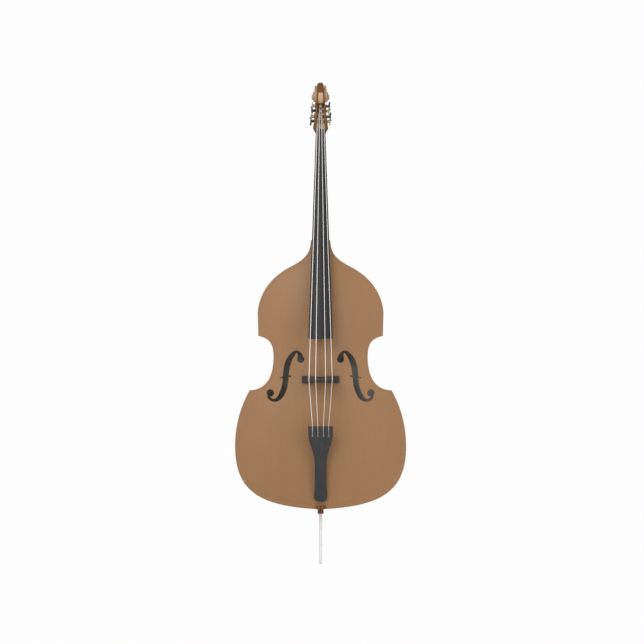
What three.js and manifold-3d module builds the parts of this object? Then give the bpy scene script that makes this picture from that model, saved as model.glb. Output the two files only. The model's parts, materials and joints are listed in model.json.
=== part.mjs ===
// Double bass: a four-string upright bass with violin corners, sloping shoulders, worm-gear
// tuning machines and a sliding endpin.
// Millimetres, +Z up the instrument, front (belly) facing -Y, +X to the right seen from the front.
// The origin is the foot of the endpin, on the instrument's centre line.

import * as THREE from 'three';
import { mergeVertices } from 'three/addons/utils/BufferGeometryUtils.js';
import Module from 'manifold-3d';

const wasm = await Module();
wasm.setup();

// ---------------------------------------------------------------------------------------------
// Driving dimensions
// ---------------------------------------------------------------------------------------------

const GAP = 0.3; // air between pieces that touch on the real instrument
const SIDES = [-1, 1]; // left and right, seen from the front
const SIDE_NAMES = { '-1': 'left', 1: 'right' };

// Body outline, right half, as [half width, height] landmarks.
const BOTTOM_Z = 229;
const NECK_END_Z = 1344;
const LOWER_BOUT = [355, 490];
const LOWER_CORNER = [294.5, 722];
const WAIST = [195.5, 862];
const UPPER_CORNER = [258.5, 947];
const UPPER_BOUT = [261, 1040];
const SHOULDER = [123, 1235.5];
const NECK_END = [40.6, NECK_END_Z];
const BOTTOM_FLAT = 24; // half width of the straight stretch at the very bottom

// Body depth and plates.
const RIB_FRONT_Y = -95;
const RIB_BACK_Y = 95;
const RIB_BACK_AT_NECK_Y = 78;
const TAPER_START_Z = 1040;
const OVERHANG = 6; // the plates stand this far outside the ribs
const RIB_THICKNESS = 3;
const PLATE_EDGE = 6;
const PLATE_EXTRA = 2; // how much thicker a plate is in the middle
const BELLY_CROWN = 30;
const BACK_CROWN = 24;
const LINING_WIDTH = 6;
const LINING_HEIGHT = 18;
const BUTTON_RADIUS = 22;

// Strings, neck and fingerboard.
const STRING_NAMES = ['e', 'a', 'd', 'g'];
const STRING_RADII = [1.7, 1.5, 1.4, 1.3];
const STRING_SIGNS = [-1, -1, 1, 1];
const NUT_X = [14.5, 5, 5, 14.5];
const BRIDGE_X = [48.4, 20.8, 20.8, 48.4];
const TAIL_X = [33.6, 11.6, 11.6, 33.6];
const NUT_Z = 1800;
const NUT_LENGTH = 6;
const BOARD_END_Z = 935;
const BOARD_SLOPE = Math.tan(THREE.MathUtils.degToRad(12));
const BOARD_Y_AT_NUT = -52;
const BOARD_HALF_AT_NUT = 19.7;
const BOARD_HALF_AT_END = 50.6;
const BOARD_CAMBER_AT_NUT = 5;
const BOARD_CAMBER_AT_END = 14;
const BOARD_SIDE = 9; // thickness of the fingerboard's edge
const BOARD_SIDE_GROWTH = 1.5;
const BOARD_HOLLOW = 9; // scoop under the free end of the fingerboard
const NECK_DEPTH_AT_NUT = 42; // neck and fingerboard together
const NECK_DEPTH_GROWTH = 6;
const HEEL_START_Z = 1480;
const HEEL_FOOT_Z = 1362;
const HEEL_BACK_SHRINK = 0.3;
const TENON = [15, -85, 66, 20]; // half width, front, back and length of the neck's tenon

// Bridge and sound hole.
const BRIDGE_Z = 766;
const BRIDGE_TOP = 281.2; // height of its crown in front of the centre plane
const BRIDGE_TOP_RADIUS = 100;
const BRIDGE_HALF = 77.5;
const BRIDGE_FOOT = 118;
const BRIDGE_FOOT_THICKNESS = 30;
const BRIDGE_TOP_THICKNESS = 6;
const SOUND_EYES = [[82.3, 850.3, 14.4], [208.5, 710.6, 14.8]]; // centre and radius
const SOUND_NICK = [144.9, 777.5, 45, 5.5, 9]; // centre, length, width and slant in degrees

// Pegbox and scroll.
const PEGBOX_Z = 1787;
const PEGBOX_FRONT_Y = -50;
const PEGBOX_LEAN = 0.3;
const PEGBOX_DEPTH = 62;
const PEGBOX_DEPTH_TAPER = 0.08;
const PEGBOX_FLOOR = 11;
const PEGBOX_TOP_Z = 1946;
const PEGBOX_HOLLOW_TOP_Z = 1913;
const SCROLL_CENTRE = [-14, 1947.5]; // y, z of the scroll's eye
const SCROLL_START_RADIUS = 55;
const SCROLL_LOSS = 16;
const SCROLL_FLUTE_HALF = 10.7;
const SCROLL_FLUTE_DEPTH = 4;

// Tuning machines.
const ROLLER_Z = [1902, 1880.4, 1858.4, 1836.9];
const ROLLER_SIDE = [-1, 1, -1, 1]; // the side that carries the roller's gear
const ROLLER_STRING = [1, 2, 0, 3]; // which string winds on each roller
const ROLLER_DEPTH = 28; // roller axis behind the pegbox's front edge
const ROLLER_RADIUS = 5;
const SPINDLE_RADIUS = 3.5;
const MACHINE_SEAT_X = [20.2, 20.2, 24.2, 24.2];
const MACHINE_REACH = 14; // worm axis outside its seat on the cheek
const MACHINE_PLATE = 2.5;
const MACHINE_PLATE_HALF_Y = 20;
const GEAR_TEETH = 20;
const GEAR_PITCH_RADIUS = 15.3;
const GEAR_WIDTH = 5;
const WORM_PITCH_RADIUS = 4.5;
const WORM_CORE_RADIUS = 3;
const WORM_TURNS = 3;
const ADDENDUM = 1.2;
const DEDENDUM = 1.6;
const TOOTH_AT_PITCH = 2.05;
const FLANK = Math.tan(THREE.MathUtils.degToRad(20));
const POST_NEAR = 10.5;
const POST_FAR = 16.5;
const POST_HALF_Z = 6;
const KEY_ROOT = 32; // start of the key's wings behind the roller axis
const KEY_LENGTH = 36;
const KEY_SPAN = 19;
const KEY_THICKNESS = 6;
const KEY_SWEEP_DEG = 13;

// Tailpiece, saddle and endpin.
const TAIL_BOTTOM_Z = 261.5;
const TAIL_TOP_Z = 572.7;
const TAIL_THICKNESS = 12;
const TAIL_SLOT_END_Z = 532;
const SADDLE_TOP_Y = -113;
const SADDLE_HALF = 22;
const SADDLE_LENGTH = 11;
const GUT_RADIUS = 2.2;
const COLLAR_Z = 209;
const COLLAR_RADIUS = 13;
const ROD_RADIUS = 6;
const ROD_TOP_Z = 430;
const TIP_HEIGHT = 24;
const LOCK_Z = 214.5;
const LOCK_RADIUS = 2.5;

// ---------------------------------------------------------------------------------------------
// Geometry helpers
// ---------------------------------------------------------------------------------------------

const v2 = (x, y) => new THREE.Vector2(x, y);
const v3 = (x, y, z) => new THREE.Vector3(x, y, z);
const lerp = THREE.MathUtils.lerp;
const MERGE_DISTANCE = 1e-4;

/** Turns a closed three.js geometry into a manifold solid. */
function solid(geometry) {
  const bare = geometry.clone();
  for (const name of Object.keys(bare.attributes)) {
    if (name !== 'position') bare.deleteAttribute(name);
  }
  const merged = mergeVertices(bare, MERGE_DISTANCE);
  return new wasm.Manifold(new wasm.Mesh({
    numProp: 3,
    vertProperties: Float32Array.from(merged.attributes.position.array),
    triVerts: Uint32Array.from(merged.index.array),
  }));
}

/** Turns a manifold solid back into a three.js geometry. */
function geometryOf(body) {
  const mesh = body.getMesh();
  const geometry = new THREE.BufferGeometry();
  geometry.setAttribute('position', new THREE.BufferAttribute(Float32Array.from(mesh.vertProperties), 3));
  geometry.setIndex(new THREE.BufferAttribute(Uint32Array.from(mesh.triVerts), 1));
  geometry.computeVertexNormals();
  return geometry;
}

/** The biggest of the separate bodies that a cut left. */
function largest(body) {
  return body.decompose().reduce((best, piece) => (piece.volume() > best.volume() ? piece : best));
}

/** Piecewise-linear interpolation through [key, value] pairs in rising key order. */
function interpolate(pairs, key) {
  const next = pairs.findIndex(([k]) => k >= key);
  if (next === 0) return pairs[0][1];
  if (next < 0) return pairs[pairs.length - 1][1];
  const [k0, a] = pairs[next - 1];
  const [k1, b] = pairs[next];
  return lerp(a, b, (key - k0) / (k1 - k0));
}

/** Extrudes an outline drawn in (x, z) along Y. */
function alongY(shape, y0, y1, curveSegments = 6) {
  const geometry = new THREE.ExtrudeGeometry(shape, { depth: y1 - y0, bevelEnabled: false, curveSegments });
  return geometry.rotateX(Math.PI / 2).translate(0, y1, 0);
}

/** Extrudes an outline drawn in (y, z) along X. */
function alongX(shape, x0, x1, curveSegments = 6) {
  const geometry = new THREE.ExtrudeGeometry(shape, { depth: x1 - x0, bevelEnabled: false, curveSegments });
  const turn = new THREE.Matrix4().makeBasis(v3(0, 1, 0), v3(0, 0, 1), v3(1, 0, 0));
  return geometry.applyMatrix4(turn).translate(x0, 0, 0);
}

function box(x0, x1, y0, y1, z0, z1) {
  return new THREE.BoxGeometry(x1 - x0, y1 - y0, z1 - z0)
    .translate((x0 + x1) / 2, (y0 + y1) / 2, (z0 + z1) / 2);
}

/** A cylinder between two points. */
function rod(from, to, radius, sides = 16) {
  const direction = to.clone().sub(from);
  const turn = new THREE.Quaternion().setFromUnitVectors(v3(0, 1, 0), direction.clone().normalize());
  return new THREE.CylinderGeometry(radius, radius, direction.length(), sides)
    .applyQuaternion(turn)
    .translate(...from.clone().add(to).multiplyScalar(0.5).toArray());
}

/** A turned piece: a closed [radius, height] profile spun about the Z axis. */
function turned(profile, sides = 20) {
  return new THREE.LatheGeometry(profile.map(([r, h]) => v2(r, h)), sides).rotateX(Math.PI / 2);
}

/** Moves every vertex of a geometry through a function of its position. */
function warp(geometry, place) {
  const position = geometry.attributes.position;
  const point = v3(0, 0, 0);
  for (let i = 0; i < position.count; i += 1) {
    point.fromBufferAttribute(position, i);
    position.setXYZ(i, ...place(point).toArray());
  }
  return geometry;
}

/** A block of nx, ny, nz cells whose corners are placed by place(u, v, w), each from 0 to 1. */
function lattice(nx, ny, nz, place) {
  return warp(new THREE.BoxGeometry(1, 1, 1, nx, ny, nz), (p) => place(p.x + 0.5, p.y + 0.5, p.z + 0.5));
}

/** A skin over closed sections, listed upwards, each counter-clockwise seen from above. */
function loft(sections) {
  const count = sections[0].length;
  const centres = sections.map((ring) => ring
    .reduce((sum, p) => sum.add(p), v3(0, 0, 0)).divideScalar(count));
  const last = sections.length - 1;
  return warp(new THREE.CylinderGeometry(1, 1, 1, count, last), (p) => {
    const ring = Math.round((p.y + 0.5) * last);
    if (Math.hypot(p.x, p.z) < 0.5) return centres[ring];
    const turn = Math.atan2(p.x, p.z) / (2 * Math.PI) + 1;
    return sections[ring][Math.round(turn * count) % count];
  });
}

/** A round cord through points that climb in Z, cut by level sections. */
function cord(points, radius, sides = 6) {
  return loft(points.map((p) => Array.from({ length: sides }, (_, k) => {
    const angle = (2 * Math.PI * k) / sides;
    return v3(p.x + radius * Math.cos(angle), p.y + radius * Math.sin(angle), p.z);
  })));
}

const bass = new THREE.Group();
bass.name = 'double_bass';

function add(name, body, finish) {
  const geometry = body.isBufferGeometry ? body : geometryOf(body);
  const mesh = new THREE.Mesh(geometry, new THREE.MeshStandardMaterial(finish));
  mesh.name = name;
  bass.add(mesh);
}

const VARNISH = { color: 0x9b785a, roughness: 0.45, metalness: 0 };
const BARE_SPRUCE = { color: 0xc9a878, roughness: 0.8, metalness: 0 };
const MAPLE = { color: 0x7d5733, roughness: 0.5, metalness: 0 };
const EBONY = { color: 0x404042, roughness: 0.4, metalness: 0 };
const ROSEWOOD = { color: 0x8a4a30, roughness: 0.45, metalness: 0 };
const ROLLER_WOOD = { color: 0x3d2712, roughness: 0.5, metalness: 0 };
const GUT = { color: 0x75552f, roughness: 0.6, metalness: 0 };
const STEEL = { color: 0xd8d6d2, roughness: 0.35, metalness: 0.8 };
const BLACK_STEEL = { color: 0x38342f, roughness: 0.45, metalness: 0.6 };
const BRASS = { color: 0x9c7a45, roughness: 0.35, metalness: 0.9 };

// ---------------------------------------------------------------------------------------------
// Body outline
// ---------------------------------------------------------------------------------------------

const cubic = (...points) => new THREE.CubicBezierCurve(...points.map(([x, z]) => v2(x, z)));

const LOWER_EDGE = [
  cubic([BOTTOM_FLAT, BOTTOM_Z], [256, 243], [LOWER_BOUT[0], 305], LOWER_BOUT),
  cubic(LOWER_BOUT, [LOWER_BOUT[0], 580], [330, 660], LOWER_CORNER),
];
const CENTRE_EDGE = [
  cubic(LOWER_CORNER, [215, 724], [WAIST[0], 795], WAIST),
  cubic(WAIST, [WAIST[0], 905], [205, 937], UPPER_CORNER),
];
const UPPER_EDGE = [
  new THREE.LineCurve(v2(...UPPER_CORNER), v2(...UPPER_BOUT)),
  cubic(UPPER_BOUT, [UPPER_BOUT[0], 1070], [247, 1173], SHOULDER),
  cubic(SHOULDER, [78, 1259], [NECK_END[0], 1283], NECK_END),
];
// The arching dies away at this smooth line, so the corners stay flat.
const ARCH_EDGE = [
  cubic([40, BOTTOM_Z], [230, BOTTOM_Z], [348, 340], [348, 490]),
  cubic([348, 490], [348, 640], [190, 720], [190, WAIST[1]]),
  cubic([190, WAIST[1]], [190, 950], [247, 975], [247, 1060]),
  cubic([247, 1060], [247, 1150], [200, 1180], [119, 1235]),
  cubic([119, 1235], [74, 1259], [36, 1285], [36, NECK_END_Z]),
];

/** Points along joined curves, each with its unit normal into the body. */
function sampleEdge(curves, steps) {
  return curves.flatMap((curve, index) => {
    const first = index === 0 ? 0 : 1;
    return Array.from({ length: steps + 1 - first }, (_, k) => {
      const t = (k + first) / steps;
      const tangent = curve.getTangent(t);
      return { point: curve.getPoint(t), inward: v2(-tangent.y, tangent.x) };
    });
  });
}

const ARCH_TABLE = sampleEdge(ARCH_EDGE, 16).map(({ point }) => [point.y, point.x]);

function archHeight(x, z, crown) {
  const along = (z - BOTTOM_Z) / (NECK_END_Z - BOTTOM_Z);
  const ridge = 1 - Math.abs(2 * along - 1) ** 3;
  const across = Math.min(1, Math.abs(x) / interpolate(ARCH_TABLE, z));
  return crown * ridge * Math.cos((Math.PI * across) / 2) ** 2;
}

function ribBackY(z) {
  const taper = Math.max(0, (z - TAPER_START_Z) / (NECK_END_Z - TAPER_START_Z));
  return lerp(RIB_BACK_Y, RIB_BACK_AT_NECK_Y, taper);
}

/** An outline strip between two insets from an edge, on one side of the body. */
function bandShape(samples, fromInset, toInset, side) {
  const at = ({ point, inward }, inset) => v2(side * (point.x + inward.x * inset), point.y + inward.y * inset);
  const outer = samples.map((sample) => at(sample, fromInset));
  const inner = samples.map((sample) => at(sample, toInset)).reverse();
  return new THREE.Shape([...outer, ...inner]);
}

/** The same samples with a straight run added at both ends. */
function prolong(samples, length) {
  const move = ({ point, inward }, run) => ({
    point: v2(point.x + inward.y * run, point.y - inward.x * run),
    inward,
  });
  return [move(samples[0], -length), ...samples, move(samples[samples.length - 1], length)];
}

/** Leans the back edge of a rib or lining along the body's taper. */
function taperBack(geometry, backY) {
  return warp(geometry, (p) => v3(p.x, p.y > backY - 1 ? ribBackY(p.z) : p.y, p.z));
}

// ---------------------------------------------------------------------------------------------
// Plates
// ---------------------------------------------------------------------------------------------

const PLATE_COLUMNS = 10;
const PLATE_ROWS = [
  ...sampleEdge(LOWER_EDGE, 7),
  ...sampleEdge(CENTRE_EDGE, 5).slice(1),
  ...sampleEdge(UPPER_EDGE, 4).slice(1),
].map(({ point }) => point);

/** An arched plate; facing is -1 for the belly and 1 for the back. */
function archedPlate(facing, crown, columns) {
  const last = PLATE_ROWS.length - 1;
  return solid(lattice(columns, 1, last, (u, v, w) => {
    const row = PLATE_ROWS[Math.round(w * last)];
    const x = (2 * u - 1) * row.x;
    const rise = archHeight(x, row.y, crown);
    const seat = facing < 0 ? -RIB_FRONT_Y : ribBackY(row.y);
    const outside = facing < 0 ? 1 - v : v;
    const thickness = PLATE_EDGE + (PLATE_EXTRA * rise) / crown;
    const height = seat + GAP + rise + (outside ? PLATE_EDGE : PLATE_EDGE - thickness);
    return v3(x, facing * height, row.y);
  }));
}

/** The sound hole's stem as [x, z, half width] along its middle, on the right side. */
const SOUND_STEM = [
  [84, 860, 12], [86, 870, 9], [92, 878, 6], [101, 882, 5], [115, 871, 8.5], [131, 846, 11.5],
  [141, 812, 12], [145, 778, 11.4], [148, 744, 11.2], [159, 711, 11], [172, 690, 9],
  [190, 680, 6], [209, 686, 5], [217, 698, 6.5],
];

function soundHole(side) {
  const middle = new THREE.CatmullRomCurve3(SOUND_STEM.map(([x, z]) => v3(x, z, 0)));
  const width = new THREE.CatmullRomCurve3(SOUND_STEM.map(([, , half], i) => v3(i, half, 0)));
  const steps = SOUND_STEM.length + 5;
  const flank = (sign) => Array.from({ length: steps + 1 }, (_, k) => {
    const t = k / steps;
    const p = middle.getPoint(t);
    const tangent = middle.getTangent(t);
    const half = sign * width.getPoint(t).y;
    return v2(side * (p.x - tangent.y * half), p.y + tangent.x * half);
  });
  const cut = (shape, segments) => solid(alongY(shape, RIB_FRONT_Y - 60, RIB_FRONT_Y + 20, segments));
  const stem = cut(new THREE.Shape([...flank(1), ...flank(-1).reverse()]));
  const eyes = SOUND_EYES.map(([x, z, radius]) => cut(new THREE.Shape().absarc(side * x, z, radius), 7));
  const [x, z, length, thickness, slant] = SOUND_NICK;
  const nick = solid(box(-length / 2, length / 2, -60, 20, -thickness / 2, thickness / 2)
    .rotateY(THREE.MathUtils.degToRad(side * slant))
    .translate(side * x, RIB_FRONT_Y, z));
  return eyes.reduce((sum, eye) => sum.add(eye), stem).add(nick);
}

const fullBelly = archedPlate(-1, BELLY_CROWN, PLATE_COLUMNS);
const belly = SIDES.reduce((plate, side) => plate.subtract(soundHole(side)), fullBelly);
const button = solid(rod(
  v3(0, ribBackY(NECK_END_Z) + GAP, NECK_END_Z),
  v3(0, ribBackY(NECK_END_Z) + GAP + PLATE_EDGE, NECK_END_Z),
  BUTTON_RADIUS,
)).intersect(solid(box(-40, 40, 0, 200, NECK_END_Z - 0.5, NECK_END_Z + 40)));
const backPlate = archedPlate(1, BACK_CROWN, PLATE_COLUMNS - 2);
add('top_plate', belly, VARNISH);
add('back_plate', backPlate.add(button), VARNISH);

// ---------------------------------------------------------------------------------------------
// Ribs, blocks and linings
// ---------------------------------------------------------------------------------------------

const RIB_INSIDE = OVERHANG + RIB_THICKNESS + GAP;
const OUTSIDE = -60; // a band from here covers everything outside an edge
const bottomJoint = { point: v2(GAP / 2, BOTTOM_Z), inward: v2(0, 1) }; // where the lower ribs meet
const EDGES = {
  lower: [bottomJoint, ...sampleEdge(LOWER_EDGE, 8)],
  centre: sampleEdge(CENTRE_EDGE, 6),
  upper: sampleEdge(UPPER_EDGE, 5),
};
const CORNER_ZONES = {
  lower: [[345, 680], [303, 662], [215, 726], [200, 800], [330, 800]],
  upper: [[285, 1008], [236, 1008], [196, 925], [180, 870], [285, 870]],
};
const BLOCK_HALF = 62;
const LOWER_BLOCK_Z = 276;
const UPPER_BLOCK_Z = 1288;
const COLLAR_PLUG_RADIUS = 13.4;

const polygon = (side, points) => new THREE.Shape(points.map(([x, z]) => v2(side * x, z)));
const deep = (shape) => solid(alongY(shape, RIB_FRONT_Y - 40, RIB_BACK_Y + 40));
const outsideOf = (name, inset, side) => deep(bandShape(prolong(EDGES[name], 30), OUTSIDE, inset, side));
const collarHole = solid(rod(v3(0, 0, BOTTOM_Z - 5), v3(0, 0, LOWER_BLOCK_Z + 20), COLLAR_PLUG_RADIUS + GAP, 20));

/** A strip along one edge of the body, from frontY to backY, following the taper at the back. */
function edgeStrip(name, side, fromInset, toInset, frontY, backY) {
  const shape = bandShape(EDGES[name], fromInset, toInset, side);
  return solid(taperBack(alongY(shape, frontY, backY), RIB_BACK_Y));
}

for (const side of SIDES) {
  const centreZone = outsideOf('centre', RIB_INSIDE, side);
  for (const name of ['upper', 'centre', 'lower']) {
    let rib = edgeStrip(name, side, OVERHANG, OVERHANG + RIB_THICKNESS, RIB_FRONT_Y, RIB_BACK_Y);
    if (name === 'centre') {
      const within = box(side > 0 ? 100 : -286, side > 0 ? 286 : -100, -200, 200, LOWER_CORNER[1] - 20, 960);
      rib = largest(rib.intersect(solid(within)));
    } else {
      rib = largest(rib.subtract(centreZone).subtract(collarHole));
    }
    add(`${name}_rib_${SIDE_NAMES[side]}`, rib, VARNISH);
  }
}

for (const side of SIDES) {
  for (const [name, zone] of Object.entries(CORNER_ZONES)) {
    const block = solid(taperBack(
      alongY(polygon(side, zone), RIB_FRONT_Y, RIB_BACK_Y),
      RIB_BACK_Y,
    ));
    const trimmed = block.subtract(outsideOf('centre', RIB_INSIDE, side)).subtract(outsideOf(name, RIB_INSIDE, side));
    add(`${name}_corner_block_${SIDE_NAMES[side]}`, largest(trimmed), BARE_SPRUCE);
  }
}

const lowerBlock = SIDES.reduce(
  (block, side) => block.subtract(outsideOf('lower', RIB_INSIDE, side)),
  solid(box(-BLOCK_HALF, BLOCK_HALF, RIB_FRONT_Y, RIB_BACK_Y, BOTTOM_Z, LOWER_BLOCK_Z)),
).subtract(solid(box(-BLOCK_HALF, BLOCK_HALF, -200, 200, BOTTOM_Z - 20, BOTTOM_Z + RIB_INSIDE)));
add('lower_block', largest(lowerBlock.subtract(collarHole)), BARE_SPRUCE);

const [tenonHalf, tenonFront, tenonBack, tenonLength] = TENON;
const mortise = box(
  -tenonHalf - GAP, tenonHalf + GAP, tenonFront - GAP, tenonBack + GAP,
  NECK_END_Z - tenonLength - GAP, NECK_END_Z + 10,
);
const upperBlock = SIDES.reduce(
  (block, side) => block.subtract(outsideOf('upper', RIB_INSIDE, side)),
  solid(taperBack(
    new THREE.BoxGeometry(2 * BLOCK_HALF, RIB_BACK_Y - RIB_FRONT_Y, NECK_END_Z - UPPER_BLOCK_Z)
      .translate(0, 0, (NECK_END_Z + UPPER_BLOCK_Z) / 2),
    RIB_BACK_Y,
  )),
);
add('upper_block', largest(upperBlock.subtract(solid(mortise))), BARE_SPRUCE);

const blockZones = [
  solid(box(-BLOCK_HALF - GAP, BLOCK_HALF + GAP, -200, 200, BOTTOM_Z - 20, LOWER_BLOCK_Z + GAP)),
  solid(box(-BLOCK_HALF, BLOCK_HALF, -200, 200, UPPER_BLOCK_Z - GAP, NECK_END_Z + 10)),
];
const LININGS = [
  ['front', RIB_FRONT_Y, RIB_FRONT_Y + LINING_HEIGHT],
  ['back', RIB_BACK_Y - LINING_HEIGHT - 17, RIB_BACK_Y],
];
for (const side of SIDES) {
  const cornerZones = Object.values(CORNER_ZONES)
    .map((zone) => deep(polygon(side, zone)))
    .map((zone) => zone.add(zone.translate([-side * GAP, 0, -GAP])).add(zone.translate([-side * GAP, 0, GAP])));
  for (const name of ['upper', 'centre', 'lower']) {
    for (const [place, frontY, backY] of LININGS) {
      const strip = edgeStrip(name, side, RIB_INSIDE, RIB_INSIDE + LINING_WIDTH, frontY, backY);
      const cut = [...cornerZones, ...blockZones].reduce((rest, zone) => rest.subtract(zone), strip);
      add(`${place}_lining_${name}_${SIDE_NAMES[side]}`, largest(cut), BARE_SPRUCE);
    }
  }
}

// ---------------------------------------------------------------------------------------------
// Bass bar and sound post
// ---------------------------------------------------------------------------------------------

const BAR_X = -58;
const BAR_THICKNESS = 20;
const BAR_FROM_Z = 400;
const BAR_TO_Z = 1120;
const BAR_HEIGHT = 38;
const BAR_END_HEIGHT = 8;
const POST_X = 58;
const POST_Z = 738;
const POST_RADIUS = 9;
const behindBelly = fullBelly.translate([0, GAP, 0]);
const frontOfBelly = fullBelly.translate([0, -GAP, 0]);

const barSteps = 10;
const bar = lattice(1, 1, barSteps, (u, v, w) => {
  const x = BAR_X + (u - 0.5) * BAR_THICKNESS;
  const z = lerp(BAR_FROM_Z, BAR_TO_Z, w);
  const height = BAR_END_HEIGHT + (BAR_HEIGHT - BAR_END_HEIGHT) * Math.sin(Math.PI * w);
  const inside = RIB_FRONT_Y - archHeight(x, z, BELLY_CROWN);
  return v3(x, v ? inside + PLATE_EXTRA + height : inside - 1, z);
});
add('bass_bar', largest(solid(bar).subtract(behindBelly)), BARE_SPRUCE);

const post = solid(rod(v3(POST_X, RIB_FRONT_Y - 28, POST_Z), v3(POST_X, RIB_BACK_Y + 22, POST_Z), POST_RADIUS, 12));
const inFrontOfBack = backPlate.translate([0, -GAP, 0]);
add('sound_post', largest(post.subtract(behindBelly).subtract(inFrontOfBack)), BARE_SPRUCE);

// ---------------------------------------------------------------------------------------------
// Fingerboard and neck
// ---------------------------------------------------------------------------------------------

const boardT = (z) => (NUT_Z - z) / (NUT_Z - BOARD_END_Z);
const boardY = (z) => BOARD_Y_AT_NUT - (NUT_Z - z) * BOARD_SLOPE;
const boardHalf = (z) => lerp(BOARD_HALF_AT_NUT, BOARD_HALF_AT_END, boardT(z));
const boardCamber = (z) => lerp(BOARD_CAMBER_AT_NUT, BOARD_CAMBER_AT_END, boardT(z));
const glueY = (z) => boardY(z) + boardCamber(z) + BOARD_SIDE + BOARD_SIDE_GROWTH * boardT(z);

const BOARD_ROWS = [BOARD_END_Z, 1070, 1210, NECK_END_Z - 4, NUT_Z];
const fingerboard = lattice(8, 1, BOARD_ROWS.length - 1, (u, v, w) => {
  const z = BOARD_ROWS[Math.round(w * (BOARD_ROWS.length - 1))];
  const across = 2 * u - 1;
  const free = Math.max(0, (NECK_END_Z - 4 - z) / (NECK_END_Z - 4 - BOARD_END_Z));
  const front = boardY(z) + boardCamber(z) * across ** 2;
  const rear = glueY(z) - BOARD_HOLLOW * Math.sqrt(free) * (1 - across ** 2);
  return v3(across * boardHalf(z), v ? rear : front, z);
});
add('fingerboard', fingerboard, EBONY);

const neckBackY = (z) => boardY(z) + NECK_DEPTH_AT_NUT + (NECK_DEPTH_GROWTH * (NUT_Z - z)) / (NUT_Z - HEEL_START_Z);

/** How far the heel has grown at a height: 0 on the neck, 1 at the heel's foot. */
function heelGrowth(z) {
  const q = THREE.MathUtils.clamp((HEEL_START_Z - z) / (HEEL_START_Z - HEEL_FOOT_Z), 0, 1);
  return 1 - Math.sqrt(1 - q * q);
}

function neckSection(z) {
  const grown = heelGrowth(z);
  const front = glueY(z) + GAP;
  const depth = lerp(neckBackY(z), RIB_BACK_AT_NECK_Y, grown) - front;
  const roundness = lerp(0.8, 0.42, grown);
  const points = 12;
  return Array.from({ length: points }, (_, k) => {
    const angle = (Math.PI * k) / (points - 1);
    const inward = Math.sin(angle) ** roundness;
    const half = (boardHalf(z) - GAP) * (1 - HEEL_BACK_SHRINK * grown * inward);
    return v3(Math.sign(Math.cos(angle)) * half * Math.abs(Math.cos(angle)) ** roundness, front + depth * inward, z);
  });
}

const NECK_STATIONS = [NECK_END_Z + GAP, HEEL_FOOT_Z, 1368, 1378, 1392, 1412, 1440, HEEL_START_Z, 1640, 1795];
const neckShaft = solid(loft(NECK_STATIONS.map(neckSection)));
const tenon = solid(box(
  -tenonHalf, tenonHalf, tenonFront, tenonBack,
  NECK_END_Z - tenonLength, NECK_END_Z + 5,
));

// ---------------------------------------------------------------------------------------------
// Pegbox and scroll
// ---------------------------------------------------------------------------------------------

const PEGBOX_OUTSIDE = [
  [PEGBOX_Z, 20.5], [1808, 32], [1837, 27.5], [1853, 25.2], [1880, 22], [1902, 20.4], [1926, 19.6], [PEGBOX_TOP_Z, 17.8],
];
const PEGBOX_INSIDE = [[NUT_Z + NUT_LENGTH, 17.4], [1837, 16], [1902, 12.8], [PEGBOX_HOLLOW_TOP_Z, 11.6]];
const pegboxFrontY = (z) => PEGBOX_FRONT_Y + (z - NUT_Z - NUT_LENGTH) * PEGBOX_LEAN;
const pegboxBackY = (z) => pegboxFrontY(z) + PEGBOX_DEPTH - (z - NUT_Z - NUT_LENGTH) * PEGBOX_DEPTH_TAPER;
const rollerY = (z) => pegboxFrontY(z) + ROLLER_DEPTH;

/** A tapering block through [z, half width] rows. */
function taperedBlock(rows, frontAt, backAt) {
  const last = rows.length - 1;
  return solid(lattice(1, 1, last, (u, v, w) => {
    const [z, half] = rows[Math.round(w * last)];
    return v3((2 * u - 1) * half, v ? backAt(z) : frontAt(z), z);
  }));
}

function scrollRadius(angle) {
  return SCROLL_START_RADIUS - SCROLL_LOSS * (Math.max(0, angle) / (1.5 * Math.PI)) ** 1.3;
}

/** Points along the scroll's outer turn, at an offset from its surface. */
function scrollTurn(from, to, offset, steps) {
  return Array.from({ length: steps + 1 }, (_, k) => {
    const angle = lerp(from, to, k / steps);
    const radius = scrollRadius(angle) + offset;
    return v2(SCROLL_CENTRE[0] + radius * Math.cos(angle), SCROLL_CENTRE[1] + radius * Math.sin(angle));
  });
}

function scroll() {
  const turn = scrollTurn(-0.55, 1.5 * Math.PI, 0, 20);
  const halfAt = (z) => lerp(19.4, 15.4, THREE.MathUtils.clamp((z - 1926) / 58, -0.2, 1));
  const outer = warp(alongX(new THREE.Shape(turn), -1, 1), (p) => v3(p.x * halfAt(p.z), p.y, p.z));
  const volute = turned([
    [0, -37], [8, -37], [14, -36], [21, -33.5], [22.5, -26], [36, -23.5], [37.5, -15],
    [37.5, 15], [36, 23.5], [22.5, 26], [21, 33.5], [14, 36], [8, 37], [0, 37],
  ], 18).rotateY(Math.PI / 2).translate(0, ...SCROLL_CENTRE);
  const fluteEdge = [...scrollTurn(0.92 * Math.PI, 1.56 * Math.PI, -SCROLL_FLUTE_DEPTH, 9)];
  const fluteRim = scrollTurn(0.92 * Math.PI, 1.56 * Math.PI, 14, 9).reverse();
  const flute = alongX(new THREE.Shape([...fluteEdge, ...fluteRim]), -SCROLL_FLUTE_HALF, SCROLL_FLUTE_HALF);
  return solid(outer).add(solid(volute)).subtract(solid(flute));
}

const pegboxHollow = taperedBlock(
  [[NUT_Z + NUT_LENGTH + 2 * GAP, 17.4], ...PEGBOX_INSIDE.slice(1)],
  () => -120,
  (z) => pegboxBackY(z) - PEGBOX_FLOOR,
);
const boardSeat = solid(lattice(1, 1, 1, (u, v, w) => {
  const z = w ? NUT_Z + NUT_LENGTH + 2 * GAP : PEGBOX_Z - 8;
  return v3((2 * u - 1) * (boardHalf(z) + GAP), v ? glueY(z) + GAP : -120, z);
}));

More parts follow.
